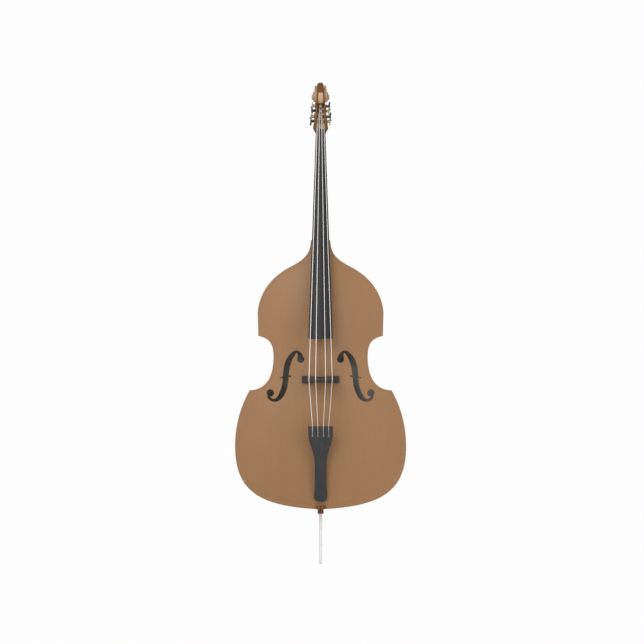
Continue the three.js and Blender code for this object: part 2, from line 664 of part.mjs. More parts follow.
/** Where one tuning machine sits: its side, roller axis, worm axis and plate ends. */
const MACHINES = ROLLER_Z.map((z, i) => {
  const side = ROLLER_SIDE[i];
  const up = side; // right-hand worms sit above their gears, left-hand ones below
  const wormZ = z + up * (GEAR_PITCH_RADIUS + WORM_PITCH_RADIUS);
  const seat = MACHINE_SEAT_X[i];
  const ends = [z - up * 14, wormZ + up * 7.5].sort((a, b) => a - b);
  return { number: i + 1, side, up, z, y: rollerY(z), wormZ, seat, reach: seat + MACHINE_REACH, ends };
});

/** A box on one side of the pegbox, given by its distances from the centre plane. */
function sideBox(side, x0, x1, y0, y1, z0, z1) {
  return side > 0 ? box(x0, x1, y0, y1, z0, z1) : box(-x1, -x0, y0, y1, z0, z1);
}

const rollerStart = (machine) => -(interpolate(PEGBOX_INSIDE, machine.z) + 5);

function sideRod(machine, x0, x1, radius, sides) {
  return rod(v3(machine.side * x0, machine.y, machine.z), v3(machine.side * x1, machine.y, machine.z), radius, sides);
}

let neck = taperedBlock(PEGBOX_OUTSIDE, pegboxFrontY, pegboxBackY)
  .add(scroll())
  .add(neckShaft)
  .add(tenon)
  .subtract(pegboxHollow)
  .subtract(boardSeat);
for (const machine of MACHINES) {
  const { side, seat, y, ends } = machine;
  const inlay = sideBox(side, seat, seat + 40, y - MACHINE_PLATE_HALF_Y - GAP, y + MACHINE_PLATE_HALF_Y + GAP, ends[0] - GAP, ends[1] + GAP);
  const bore = sideRod(machine, rollerStart(machine) - GAP, seat + 1, ROLLER_RADIUS + GAP, 12);
  neck = neck.subtract(solid(inlay)).subtract(solid(bore));
}
add('neck', largest(neck), MAPLE);

// The nut, with a groove for each string.
const nutTopY = (x) => BOARD_Y_AT_NUT - 2 + BOARD_CAMBER_AT_NUT * (x / BOARD_HALF_AT_NUT) ** 2;
const nutBody = solid(lattice(6, 1, 1, (u, v, w) => {
  const x = (2 * u - 1) * (BOARD_HALF_AT_NUT - GAP);
  const z = w ? NUT_Z + NUT_LENGTH : NUT_Z + GAP;
  return v3(x, v ? glueY(z) : nutTopY(x), z);
}));

const nutStringY = (i) => nutTopY(NUT_X[i]) - STRING_RADII[i] * 0.3;
const bridgeTop = (x) => BRIDGE_TOP - x ** 2 / (2 * BRIDGE_TOP_RADIUS);
const tailLineY = (z) => SADDLE_TOP_Y - 1 - (z - BOTTOM_Z) * ((BRIDGE_TOP - 114) / (BRIDGE_Z - BOTTOM_Z));
const TAIL_HALF = [
  [TAIL_BOTTOM_Z, 15], [265, 22], [275, 27], [300, 25.5], [350, 24], [415, 23.8], [445, 27], [471, 33.5],
  [492, 41], [512, 48], [530, 50.6], [TAIL_TOP_Z, 51.9],
];
const tailCamber = (z) => lerp(5, 10, (z - TAIL_BOTTOM_Z) / (TAIL_TOP_Z - TAIL_BOTTOM_Z));
const tailFrontY = (x, z) => tailLineY(z) + tailCamber(z) * (x / interpolate(TAIL_HALF, z)) ** 2;

function stringPath(i) {
  const sign = STRING_SIGNS[i];
  const radius = STRING_RADII[i];
  const machine = MACHINES[ROLLER_STRING.indexOf(i)];
  const bridgeY = -(bridgeTop(BRIDGE_X[i]) + radius + GAP);
  const tailX = sign * TAIL_X[i];
  const rollerX = sign * Math.min(NUT_X[i], interpolate(PEGBOX_INSIDE, machine.z) - 6);
  return [
    v3(tailX, tailFrontY(TAIL_X[i], TAIL_SLOT_END_Z) + 7, TAIL_SLOT_END_Z - 2),
    v3(tailX, tailFrontY(TAIL_X[i], TAIL_TOP_Z) + 3, TAIL_TOP_Z + 1),
    v3(sign * BRIDGE_X[i], bridgeY, BRIDGE_Z - BRIDGE_TOP_THICKNESS / 2),
    v3(sign * BRIDGE_X[i], bridgeY, BRIDGE_Z + BRIDGE_TOP_THICKNESS / 2),
    v3(sign * NUT_X[i], nutStringY(i), NUT_Z),
    v3(sign * NUT_X[i], nutStringY(i), NUT_Z + NUT_LENGTH),
    v3(rollerX, machine.y - ROLLER_RADIUS - radius - GAP - 0.4, machine.z),
  ];
}

const grooves = STRING_NAMES.map((_, i) => {
  const x = STRING_SIGNS[i] * NUT_X[i];
  const y = nutStringY(i);
  return solid(rod(v3(x, y, NUT_Z - 5), v3(x, y, NUT_Z + NUT_LENGTH + 5), STRING_RADII[i] + GAP, 10));
});
add('nut', largest(grooves.reduce((body, groove) => body.subtract(groove), nutBody)), EBONY);

STRING_NAMES.forEach((name, i) => {
  add(`string_${name}`, cord(stringPath(i), STRING_RADII[i]), STEEL);
});

// ---------------------------------------------------------------------------------------------
// Bridge
// ---------------------------------------------------------------------------------------------

function bridgeShape() {
  const corner = 54.5;
  const shoulder = bridgeTop(corner);
  const shape = new THREE.Shape();
  shape.moveTo(-BRIDGE_HALF, BRIDGE_FOOT);
  shape.lineTo(-37, BRIDGE_FOOT);
  shape.bezierCurveTo(-37, 150, -14, 160, 0, 160);
  shape.bezierCurveTo(14, 160, 37, 150, 37, BRIDGE_FOOT);
  shape.lineTo(BRIDGE_HALF, BRIDGE_FOOT);
  shape.lineTo(BRIDGE_HALF, 134);
  shape.bezierCurveTo(62, 140, 52, 152, 51, 170);
  shape.bezierCurveTo(46, 180, 34, 176, 33, 186);
  shape.bezierCurveTo(35, 197, 50, 189, 61, 197);
  shape.bezierCurveTo(68, 208, 61, 228, 57, 242);
  shape.lineTo(corner, shoulder);
  shape.quadraticCurveTo(0, 2 * BRIDGE_TOP - shoulder, -corner, shoulder);
  shape.lineTo(-57, 242);
  shape.bezierCurveTo(-61, 228, -68, 208, -61, 197);
  shape.bezierCurveTo(-50, 189, -35, 197, -33, 186);
  shape.bezierCurveTo(-34, 176, -46, 180, -51, 170);
  shape.bezierCurveTo(-52, 152, -62, 140, -BRIDGE_HALF, 134);
  const heart = new THREE.Path();
  heart.moveTo(0, 204);
  heart.bezierCurveTo(-10, 211, -15, 219, -14, 228);
  heart.bezierCurveTo(-12, 237, -3, 237, 0, 229);
  heart.bezierCurveTo(3, 237, 12, 237, 14, 228);
  heart.bezierCurveTo(15, 219, 10, 211, 0, 204);
  shape.holes.push(heart);
  return shape;
}

const bridgeBlank = new THREE.ExtrudeGeometry(bridgeShape(), { depth: 1, bevelEnabled: false, curveSegments: 5 });
const bridge = warp(bridgeBlank.translate(0, 0, -0.5), (p) => {
  const rise = (p.y - BRIDGE_FOOT) / (BRIDGE_TOP - BRIDGE_FOOT);
  const thickness = lerp(BRIDGE_FOOT_THICKNESS, BRIDGE_TOP_THICKNESS, rise);
  return v3(p.x, -p.y, BRIDGE_Z - p.z * thickness);
});
add('bridge', largest(solid(bridge).subtract(frontOfBelly)), EBONY);

// ---------------------------------------------------------------------------------------------
// Tailpiece, saddle and tailgut
// ---------------------------------------------------------------------------------------------

const tailBlank = solid(lattice(6, 1, TAIL_HALF.length - 1, (u, v, w) => {
  const [z, half] = TAIL_HALF[Math.round(w * (TAIL_HALF.length - 1))];
  const x = (2 * u - 1) * half;
  const front = tailFrontY(x, z);
  return v3(x, v ? Math.max(front + TAIL_THICKNESS * 0.55, tailLineY(z) + TAIL_THICKNESS) : front, z);
}));
const GUT_TAIL_X = 11.5;
const gutTopY = tailLineY(TAIL_BOTTOM_Z) + 7;
let tailpiece = tailBlank;
STRING_NAMES.forEach((_, i) => {
  const x = STRING_SIGNS[i] * TAIL_X[i];
  const half = STRING_RADII[i] + 0.5;
  tailpiece = tailpiece
    .subtract(solid(box(x - half, x + half, -300, -100, TAIL_SLOT_END_Z, TAIL_TOP_Z + 5)))
    .subtract(solid(rod(v3(x, -300, TAIL_SLOT_END_Z), v3(x, -100, TAIL_SLOT_END_Z), 4, 12)));
});
const gutLean = v3(0, -5.5, 20);
for (const side of SIDES) {
  const end = v3(side * GUT_TAIL_X, gutTopY, TAIL_BOTTOM_Z);
  const hole = rod(end.clone().sub(gutLean), end.clone().add(gutLean), GUT_RADIUS + 0.9, 8);
  tailpiece = tailpiece.subtract(solid(hole));
}
add('tailpiece', largest(tailpiece), EBONY);

const saddle = lattice(1, 1, 4, (u, v, w) => {
  const z = BOTTOM_Z + w * SADDLE_LENGTH;
  const crown = SADDLE_TOP_Y + 7 * (2 * w - 1) ** 4;
  return v3((2 * u - 1) * SADDLE_HALF, v ? RIB_FRONT_Y - 4 : crown, z);
});
add('saddle', largest(solid(saddle).subtract(frontOfBelly)), MAPLE);

const collarNeck = 11;
const gutReach = collarNeck + GUT_RADIUS + 0.6;
const GUT_POINTS = [
  [GUT_TAIL_X, gutTopY - 3.6, TAIL_BOTTOM_Z + 12],
  [GUT_TAIL_X, gutTopY, TAIL_BOTTOM_Z - 1],
  [8, SADDLE_TOP_Y - GUT_RADIUS - 0.8, 240],
  [6.5, SADDLE_TOP_Y - GUT_RADIUS - 0.6, 233],
  [6, SADDLE_TOP_Y + 2, 226],
  [6, RIB_FRONT_Y - 6, 224.5],
  [8, -60, 227],
  [gutReach, -16, 228.5],
  [gutReach, 2, 228.5],
  [gutReach * 0.7, gutReach * 0.75 + 2, 228.5],
];
const gutHalf = GUT_POINTS.map(([x, y, z]) => v3(x, y, z));
const gutCurve = new THREE.CatmullRomCurve3([
  ...gutHalf,
  v3(0, gutReach + 2.5, 228.5),
  ...gutHalf.map((p) => v3(-p.x, p.y, p.z)).reverse(),
]);
const gutSection = new THREE.Shape().absarc(0, 0, GUT_RADIUS);
add('tailgut', solid(new THREE.ExtrudeGeometry(gutSection, {
  steps: 44, curveSegments: 3, bevelEnabled: false, extrudePath: gutCurve,
})), GUT);

// ---------------------------------------------------------------------------------------------
// Endpin
// ---------------------------------------------------------------------------------------------

const collarSeatZ = BOTTOM_Z + OVERHANG - GAP;
const collarBore = ROD_RADIUS + GAP;
const collar = turned([
  [collarBore, COLLAR_Z], [10, COLLAR_Z], [12.3, COLLAR_Z + 1.5], [COLLAR_RADIUS, COLLAR_Z + 5],
  [COLLAR_RADIUS, COLLAR_Z + 12], [collarNeck, COLLAR_Z + 15], [collarNeck, collarSeatZ - 3],
  [COLLAR_PLUG_RADIUS, collarSeatZ - 1], [COLLAR_PLUG_RADIUS, collarSeatZ], [COLLAR_PLUG_RADIUS - 0.4, 278],
  [collarBore, 278], [collarBore, COLLAR_Z],
], 16);
const lockBore = rod(v3(0, 3, LOCK_Z), v3(0, 20, LOCK_Z), LOCK_RADIUS + GAP, 12);
add('endpin_collar', solid(collar).subtract(solid(lockBore)), ROSEWOOD);

add('endpin_rod', rod(v3(0, 0, TIP_HEIGHT + GAP), v3(0, 0, ROD_TOP_Z), ROD_RADIUS, 20), STEEL);
add('endpin_tip', turned([
  [0, 0], [3.4, 0], [5.2, 2.4], [ROD_RADIUS, 8], [ROD_RADIUS, TIP_HEIGHT], [0, TIP_HEIGHT],
], 16), STEEL);

const SHOE_LENGTH = 2.6;
const shoeY = ROD_RADIUS + GAP;
const screwY = shoeY + SHOE_LENGTH + GAP;
const knobY = 15;
add('locking_shoe', rod(v3(0, shoeY, LOCK_Z), v3(0, shoeY + SHOE_LENGTH, LOCK_Z), LOCK_RADIUS, 12), BRASS);
const knob = new THREE.Shape(Array.from({ length: 24 }, (_, k) => {
  const angle = (2 * Math.PI * k) / 24;
  const radius = 8.5 + 0.8 * Math.cos(8 * angle);
  return v2(radius * Math.cos(angle), LOCK_Z + radius * Math.sin(angle));
}));
add('thumbscrew', solid(alongY(knob, knobY, knobY + 7))
  .add(solid(rod(v3(0, screwY, LOCK_Z), v3(0, knobY + 1, LOCK_Z), LOCK_RADIUS, 12))), BRASS);

// ---------------------------------------------------------------------------------------------
// Tuning machines
// ---------------------------------------------------------------------------------------------

const PITCH = (2 * Math.PI * GEAR_PITCH_RADIUS) / GEAR_TEETH;

/** A toothed wheel about X, its tooth space facing the worm, its teeth leaning with the thread. */
function gearWheel(machine) {
  const tip = GEAR_PITCH_RADIUS + ADDENDUM;
  const root = GEAR_PITCH_RADIUS - DEDENDUM;
  const halfAt = (radius) => (TOOTH_AT_PITCH / 2 - (radius - GEAR_PITCH_RADIUS) * FLANK) / radius;
  const outline = new THREE.Shape(Array.from({ length: GEAR_TEETH }, (_, k) => {
    const middle = (2 * Math.PI * (k + 0.5)) / GEAR_TEETH + (machine.up * Math.PI) / 2;
    return [[-halfAt(root), root], [-halfAt(tip), tip], [halfAt(tip), tip], [halfAt(root), root]]
      .map(([turn, radius]) => v2(radius * Math.cos(middle + turn), radius * Math.sin(middle + turn)));
  }).flat());
  const twist = PITCH / (2 * Math.PI * WORM_PITCH_RADIUS) / GEAR_PITCH_RADIUS;
  const wheel = warp(alongX(outline, -GEAR_WIDTH / 2, GEAR_WIDTH / 2), (p) => {
    const turn = twist * p.x;
    return v3(p.x, p.y * Math.cos(turn) - p.z * Math.sin(turn), p.y * Math.sin(turn) + p.z * Math.cos(turn));
  });
  return solid(wheel.translate(machine.side * machine.reach, machine.y, machine.z));
}

/** The worm's thread: a trapezoid wound about Y, crossing the gear's side at the roller's depth. */
function wormThread(machine) {
  const sink = 0.4;
  const inner = WORM_CORE_RADIUS - sink;
  const outer = WORM_PITCH_RADIUS + ADDENDUM;
  return solid(lattice(1, 1, WORM_TURNS * 9, (u, v, w) => {
    const angle = (w - 0.5) * WORM_TURNS * 2 * Math.PI;
    const radius = v ? outer : inner;
    const half = TOOTH_AT_PITCH / 2 - (radius - WORM_PITCH_RADIUS) * FLANK;
    const along = (PITCH * angle) / (2 * Math.PI) + (2 * u - 1) * half;
    return v3(
      machine.side * machine.reach - machine.up * radius * Math.sin(angle),
      machine.y + along,
      machine.wormZ - machine.up * radius * Math.cos(angle),
    );
  }));
}

function keyWing(machine, half) {
  const shape = new THREE.Shape();
  shape.moveTo(KEY_ROOT - 1, 0);
  shape.lineTo(KEY_ROOT - 1, 3.6);
  shape.bezierCurveTo(KEY_ROOT + 4, 6, KEY_ROOT + 2, KEY_SPAN, KEY_ROOT + 16, KEY_SPAN);
  shape.bezierCurveTo(KEY_ROOT + 30, KEY_SPAN, KEY_ROOT + KEY_LENGTH + 1, 11, KEY_ROOT + KEY_LENGTH - 4, 3);
  shape.lineTo(KEY_ROOT + KEY_LENGTH - 5, 0);
  const wing = alongX(shape, -KEY_THICKNESS / 2, KEY_THICKNESS / 2, 4)
    .rotateY(THREE.MathUtils.degToRad(machine.side * KEY_SWEEP_DEG));
  if (half < 0) wing.rotateY(Math.PI - 2 * THREE.MathUtils.degToRad(machine.side * KEY_SWEEP_DEG));
  return solid(wing.translate(machine.side * machine.reach, machine.y, machine.wormZ));
}

function tuningKey(machine) {
  const x = machine.side * machine.reach;
  const at = (y) => v3(x, machine.y + y, machine.wormZ);
  const shaft = rod(at(-POST_FAR - 2.5), at(KEY_ROOT + 4), WORM_CORE_RADIUS, 10);
  const frontCollar = rod(at(-POST_FAR - 2.5), at(-POST_FAR - GAP), 4.4, 10);
  const rearCollar = rod(at(POST_FAR + GAP), at(POST_FAR + 5), 4.8, 10);
  return solid(shaft).add(solid(frontCollar)).add(solid(rearCollar))
    .add(wormThread(machine)).add(keyWing(machine, 1)).add(keyWing(machine, -1));
}

function machinePlate(machine) {
  const { side, seat, reach, y, wormZ, ends } = machine;
  const face = seat + GAP + MACHINE_PLATE;
  let plate = solid(sideBox(side, seat + GAP, face, y - MACHINE_PLATE_HALF_Y, y + MACHINE_PLATE_HALF_Y, ...ends));
  for (const end of SIDES) {
    const [near, far] = [end * POST_NEAR, end * POST_FAR].sort((a, b) => a - b);
    const post = sideBox(side, face - 1, reach + 5, y + near, y + far, wormZ - POST_HALF_Z, wormZ + POST_HALF_Z);
    plate = plate.add(solid(post));
  }
  const x = side * reach;
  const wormBore = rod(v3(x, y - 30, wormZ), v3(x, y + 30, wormZ), WORM_CORE_RADIUS + GAP, 12);
  return plate.subtract(solid(wormBore)).subtract(solid(sideRod(machine, seat - 2, face + 2, SPINDLE_RADIUS + GAP, 12)));
}

for (const machine of MACHINES) {
  const { number, seat, reach } = machine;
  const hubStart = seat + 2 * GAP + MACHINE_PLATE;
  const hub = solid(sideRod(machine, hubStart, reach, 6, 12));
  const bore = solid(sideRod(machine, seat, reach + 20, SPINDLE_RADIUS + GAP, 12));
  const roller = solid(sideRod(machine, rollerStart(machine), seat - GAP, ROLLER_RADIUS, 12))
    .add(solid(sideRod(machine, seat - 5, reach + GEAR_WIDTH / 2 + 1, SPINDLE_RADIUS, 12)));
  add(`machine_plate_${number}`, machinePlate(machine), BLACK_STEEL);
  add(`tuning_key_${number}`, tuningKey(machine), BLACK_STEEL);
  add(`gear_wheel_${number}`, gearWheel(machine).add(hub).subtract(bore), BRASS);
  add(`roller_${number}`, roller, ROLLER_WOOD);
}

export default bass;
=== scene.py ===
"""The looks of a double bass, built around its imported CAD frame.

Shapes are worked out in millimetres, in the part's own frame: +Z up, the front towards -Y, the origin
at the foot of the endpin. build() turns them into metres.
"""
import json
import math

import bmesh
import bpy
import numpy as np
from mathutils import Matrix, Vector
from mathutils.geometry import delaunay_2d_cdt, intersect_line_line_2d


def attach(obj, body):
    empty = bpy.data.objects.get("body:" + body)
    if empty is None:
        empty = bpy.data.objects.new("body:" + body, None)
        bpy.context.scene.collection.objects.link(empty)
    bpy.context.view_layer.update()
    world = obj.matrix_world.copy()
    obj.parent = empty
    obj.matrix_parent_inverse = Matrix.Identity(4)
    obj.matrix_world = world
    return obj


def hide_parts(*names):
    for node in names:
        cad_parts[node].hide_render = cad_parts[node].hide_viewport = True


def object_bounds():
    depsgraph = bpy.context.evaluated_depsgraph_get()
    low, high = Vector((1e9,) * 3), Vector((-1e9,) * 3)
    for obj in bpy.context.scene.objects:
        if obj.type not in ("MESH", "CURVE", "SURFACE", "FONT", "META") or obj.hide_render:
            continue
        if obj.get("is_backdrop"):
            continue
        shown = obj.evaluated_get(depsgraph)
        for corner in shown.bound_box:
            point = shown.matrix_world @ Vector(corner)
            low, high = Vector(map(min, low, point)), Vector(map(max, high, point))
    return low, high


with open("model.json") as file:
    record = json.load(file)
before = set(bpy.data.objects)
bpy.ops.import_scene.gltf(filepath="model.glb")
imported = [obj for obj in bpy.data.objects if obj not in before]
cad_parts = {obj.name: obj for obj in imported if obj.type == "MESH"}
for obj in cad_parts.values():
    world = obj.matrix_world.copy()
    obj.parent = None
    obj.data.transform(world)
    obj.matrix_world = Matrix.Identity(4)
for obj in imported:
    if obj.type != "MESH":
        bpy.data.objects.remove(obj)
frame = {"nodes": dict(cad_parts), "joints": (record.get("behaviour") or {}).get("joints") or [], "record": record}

CAD_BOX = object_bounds()
METRES = 0.001
GAP = 0.3  # air between pieces that touch on the real instrument
SIDES = (-1, 1)
SIDE_NAMES = {-1: "left", 1: "right"}


def lerp(a, b, t):
    return a + (b - a) * t


def clamp(value, low=0.0, high=1.0):
    return max(low, min(high, value))


def smooth_step(t):
    t = clamp(t)
    return t * t * (3 - 2 * t)


def interpolate(pairs, key):
    """Straight-line interpolation through (key, value) pairs in rising key order."""
    return float(np.interp(key, [k for k, _ in pairs], [v for _, v in pairs]))


def eased(pairs, key, reach):
    """The same, with its corners rounded over a distance."""
    steps = (-1, -0.6, -0.2, 0.2, 0.6, 1)
    return sum(interpolate(pairs, key + reach * s) for s in steps) / len(steps)


# ---- Camera, light and floor ----

FRAME_PER_HEIGHT, AIM_PER_HEIGHT, CAMERA_X, CAMERA_Y = 1.3371, 0.5029, 0.0058, -6
FILL_STRENGTH, BACKDROP = 0.62, (0.985, 0.985, 0.985)
FLOOR_SIZE, FLOOR_GREY = 60, (0.86, 0.86, 0.855)
LIGHT_AIM = (0, 0, 1.0)
LIGHTS = (  # name, place in metres, width in metres, power in watts
    ("key", (-1.5, -4.4, 2.6), 2.6, 92),
    ("fill", (2.6, -4.0, 1.4), 2.8, 42),
    ("rim", (1.4, 3.6, 2.8), 2.0, 70),
)


def set_camera():
    """A level view from the front, without perspective, as a flat drawing has."""
    height = CAD_BOX[1][2] - CAD_BOX[0][2]
    data = bpy.data.cameras.new("camera")
    data.type = "ORTHO"
    data.ortho_scale = FRAME_PER_HEIGHT * height
    camera = bpy.data.objects.new("camera", data)
    camera.location = (CAMERA_X, CAMERA_Y, AIM_PER_HEIGHT * height)
    camera.rotation_euler = (math.pi / 2, 0, 0)
    bpy.context.scene.collection.objects.link(camera)
    bpy.context.scene.camera = camera


def add_light(name, location, size, power):
    """A soft round light aimed at the middle of the instrument."""
    data = bpy.data.lights.new(name, "AREA")
    data.shape = "DISK"
    data.size = size
    data.energy = power
    light = bpy.data.objects.new(name, data)
    light.location = location
    light.rotation_euler = (Vector(LIGHT_AIM) - Vector(location)).to_track_quat("-Z", "Y").to_euler()
    bpy.context.scene.collection.objects.link(light)


def set_stage():
    scene = bpy.context.scene
    scene.view_settings.view_transform = "Standard"
    world = bpy.data.worlds.new("studio")
    world.use_nodes = True
    nodes, links = world.node_tree.nodes, world.node_tree.links
    fill = nodes["Background"]
    fill.inputs["Color"].default_value = (1, 1, 1, 1)
    fill.inputs["Strength"].default_value = FILL_STRENGTH
    seen = nodes.new("ShaderNodeBackground")
    seen.inputs["Color"].default_value = (*BACKDROP, 1)
    path, mix = nodes.new("ShaderNodeLightPath"), nodes.new("ShaderNodeMixShader")
    links.new(path.outputs["Is Camera Ray"], mix.inputs["Fac"])
    links.new(fill.outputs["Background"], mix.inputs[1])
    links.new(seen.outputs["Background"], mix.inputs[2])
    links.new(mix.outputs["Shader"], nodes["World Output"].inputs["Surface"])
    scene.world = world
    for light in LIGHTS:
        add_light(*light)
    bpy.ops.mesh.primitive_plane_add(size=FLOOR_SIZE, location=(0, 0, CAD_BOX[0][2]))
    floor = bpy.context.object
    floor.name = "floor"
    floor.data.materials.append(plain("floor_paint", FLOOR_GREY, 0.8))
    floor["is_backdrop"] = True


# ---- Materials ----

class Paint:
    """A node material in the making, with helpers that add and join its nodes."""

    def __init__(self, name, roughness, metallic=0.0):
        self.material = bpy.data.materials.new(name)
        self.material.use_nodes = True
        self.tree = self.material.node_tree
        self.shader = self.tree.nodes["Principled BSDF"]
        self.shader.inputs["Roughness"].default_value = roughness
        self.shader.inputs["Metallic"].default_value = metallic
        self.place = self.node("ShaderNodeTexCoord").outputs["Object"]

    def node(self, kind, inputs=None, **settings):
        node = self.tree.nodes.new(kind)
        for key, value in settings.items():
            setattr(node, key, value)
        for key, value in (inputs or {}).items():
            if isinstance(value, bpy.types.NodeSocket):
                self.tree.links.new(value, node.inputs[key])
            else:
                node.inputs[key].default_value = value
        return node

    def stretched(self, scale, turn=(0, 0, 0)):
        """Object coordinates scaled along each axis, so that a pattern runs with the grain."""
        inputs = {"Vector": self.place, "Scale": scale, "Rotation": turn}
        return self.node("ShaderNodeMapping", inputs).outputs["Vector"]

    def noise(self, vector, scale, detail=4.0, roughness=0.55, distortion=0.0):
        return self.node("ShaderNodeTexNoise", {
            "Vector": vector, "Scale": scale, "Detail": detail, "Roughness": roughness,
            "Distortion": distortion,
        }).outputs["Fac"]

    def wave(self, vector, scale, distortion, direction="X", detail=2.0, detail_scale=1.5):
        return self.node("ShaderNodeTexWave", {
            "Vector": vector, "Scale": scale, "Distortion": distortion, "Detail": detail,
            "Detail Scale": detail_scale,
        }, bands_direction=direction).outputs["Fac"]

    def ramp(self, factor, stops):
        node = self.node("ShaderNodeValToRGB", {"Fac": factor})
        elements = node.color_ramp.elements
        while len(elements) < len(stops):
            elements.new(0.5)
        for element, (position, color) in zip(elements, stops):
            element.position = position
            element.color = (*color, 1) if len(color) == 3 else color
        return node.outputs["Color"]

    def spread(self, factor, low, high, start=0.0, end=1.0):
        return self.node("ShaderNodeMapRange", {
            "Value": factor, "From Min": start, "From Max": end, "To Min": low, "To Max": high,
        }).outputs["Result"]

    def mix(self, a, b, factor, blend="MIX"):
        node = self.tree.nodes.new("ShaderNodeMix")
        node.data_type = "RGBA"
        node.blend_type = blend
        for index, value in ((0, factor), (6, a), (7, b)):
            socket = node.inputs[index]
            if isinstance(value, bpy.types.NodeSocket):
                self.tree.links.new(value, socket)
            else:
                socket.default_value = value if index == 0 else (*value, 1)
        return node.outputs[2]

    def bump(self, height, strength, distance):
        inputs = {"Height": height, "Strength": strength, "Distance": distance}
        return self.node("ShaderNodeBump", inputs).outputs["Normal"]

    def use(self, **sockets):
        names = {"color": "Base Color", "roughness": "Roughness", "normal": "Normal"}
        for key, value in sockets.items():
            self.tree.links.new(value, self.shader.inputs[names[key]])
        return self.material


def shade(color, amount):
    return tuple(clamp(c * amount) for c in color)


def plain(name, color, roughness):
    """Paint with a faint mottle in its tone and a fine tooth."""
    paint = Paint(name, roughness)
    cloud = paint.noise(paint.place, 3.0)
    tone = paint.ramp(cloud, [(0.3, shade(color, 0.99)), (0.7, shade(color, 1.01))])
    tooth = paint.noise(paint.place, 900.0, 2.0)
    return paint.use(color=tone, normal=paint.bump(tooth, 0.04, 0.0004))


def spruce(name, color, contrast, coat):
    """Quarter-sawn spruce: fine straight rings up the instrument, under varnish."""
    paint = Paint(name, 0.5)
    paint.shader.inputs["Specular IOR Level"].default_value = 0.36
    paint.shader.inputs["Coat Weight"].default_value = coat
    paint.shader.inputs["Coat Roughness"].default_value = 0.26
    rings = paint.wave(paint.stretched((1, 0.12, 0.012)), 95.0, 1.6, "X", 3.0, 1.2)
    fibre = paint.noise(paint.stretched((420, 60, 5)), 1.0, 5.0, 0.6)
    cloud = paint.noise(paint.stretched((4, 2, 1.6)), 1.0, 3.0)
    base = paint.ramp(rings, [(0.0, shade(color, 1 - contrast)), (0.25, shade(color, 1 + 0.1 * contrast)),
                              (1.0, shade(color, 1 + 0.35 * contrast))])
    streaks = paint.ramp(fibre, [(0.35, (0.9, 0.89, 0.87)), (0.65, (1.06, 1.05, 1.04))])
    toned = paint.mix(base, streaks, 0.5, "MULTIPLY")
    patches = paint.ramp(cloud, [(0.3, (0.93, 0.92, 0.9)), (0.7, (1.07, 1.06, 1.05))])
    toned = paint.mix(toned, patches, 0.7, "MULTIPLY")
    rough = paint.spread(fibre, 0.44, 0.6, 0.3, 0.7)
    relief = paint.mix(rings, fibre, 0.55)
    return paint.use(color=toned, roughness=rough, normal=paint.bump(relief, 0.12, 0.0003))


def maple(name, color, contrast, flame_axis="Z", coat=0.2, specular=0.5):
    """Flamed maple: soft irregular bands across the grain over fine pores, under varnish."""
    along_z = flame_axis == "Z"
    paint = Paint(name, 0.42)
    paint.shader.inputs["Specular IOR Level"].default_value = specular
    paint.shader.inputs["Coat Weight"].default_value = coat
    paint.shader.inputs["Coat Roughness"].default_value = 0.24
    flow = paint.stretched((0.5, 0.4, 1) if along_z else (1, 0.4, 0.5), (0, 0.12, 0))
    flame = paint.wave(flow, 9.0, 9.0, flame_axis, 4.0, 1.1)
    pores = paint.noise(paint.stretched((1300, 1300, 50) if along_z else (50, 1300, 1300)), 1.0, 4.0, 0.62)
    cloud = paint.noise(paint.stretched((5, 3, 4)), 1.0, 3.0)
    dark, light = shade(color, 1 - contrast), shade(color, 1 + 0.8 * contrast)
    bands = paint.ramp(flame, [(0.1, dark), (0.55, color), (0.95, light)])
    base = paint.mix(color, bands, paint.spread(cloud, 0.15, 1.0, 0.35, 0.65))
    streaks = paint.ramp(pores, [(0.36, (0.88, 0.86, 0.83)), (0.5, (1, 1, 1)), (0.7, (1.05, 1.04, 1.03))])
    toned = paint.mix(base, streaks, 0.6, "MULTIPLY")
    patches = paint.ramp(cloud, [(0.3, (0.94, 0.93, 0.91)), (0.7, (1.05, 1.04, 1.03))])
    toned = paint.mix(toned, patches, 0.7, "MULTIPLY")
    rough = paint.spread(pores, 0.52, 0.38, 0.35, 0.65)
    return paint.use(color=toned, roughness=rough, normal=paint.bump(pores, 0.1, 0.0003))


def ebony(name, color, roughness=0.42, specular=0.35):
    """Dense dark wood with short fine pores and a dull oiled sheen."""
    paint = Paint(name, roughness)
    paint.shader.inputs["Specular IOR Level"].default_value = specular
    pores = paint.noise(paint.stretched((900, 900, 40)), 1.0, 3.0, 0.6)
    streak = paint.noise(paint.stretched((60, 60, 3)), 1.0, 4.0, 0.5)
    base = paint.ramp(streak, [(0.3, shade(color, 0.82)), (0.55, color), (0.75, shade(color, 1.22))])
    pitted = paint.ramp(pores, [(0.33, (0.7, 0.69, 0.68)), (0.45, (1, 1, 1))])
    toned = paint.mix(base, pitted, 0.7, "MULTIPLY")
    rough = paint.spread(streak, roughness - 0.06, roughness + 0.1, 0.3, 0.7)
    return paint.use(color=toned, roughness=rough, normal=paint.bump(pores, 0.15, 0.0002))


def metal(name, color, roughness, metallic=1.0, grain=(40, 40, 900), wear=0.2):
    """Metal with fine working marks along one direction and a little tarnish."""
    paint = Paint(name, roughness, metallic)
    marks = paint.noise(paint.stretched(grain), 1.0, 4.0, 0.6)
    tarnish = paint.noise(paint.place, 90.0, 5.0, 0.6)
    tone = paint.ramp(tarnish, [(0.32, shade(color, 1 - wear)), (0.55, color), (0.8, shade(color, 1.05))])
    rough = paint.spread(paint.mix(marks, tarnish, 0.5), roughness - 0.08, roughness + 0.14, 0.3, 0.7)
    return paint.use(color=tone, roughness=rough, normal=paint.bump(marks, 0.06, 0.0001))


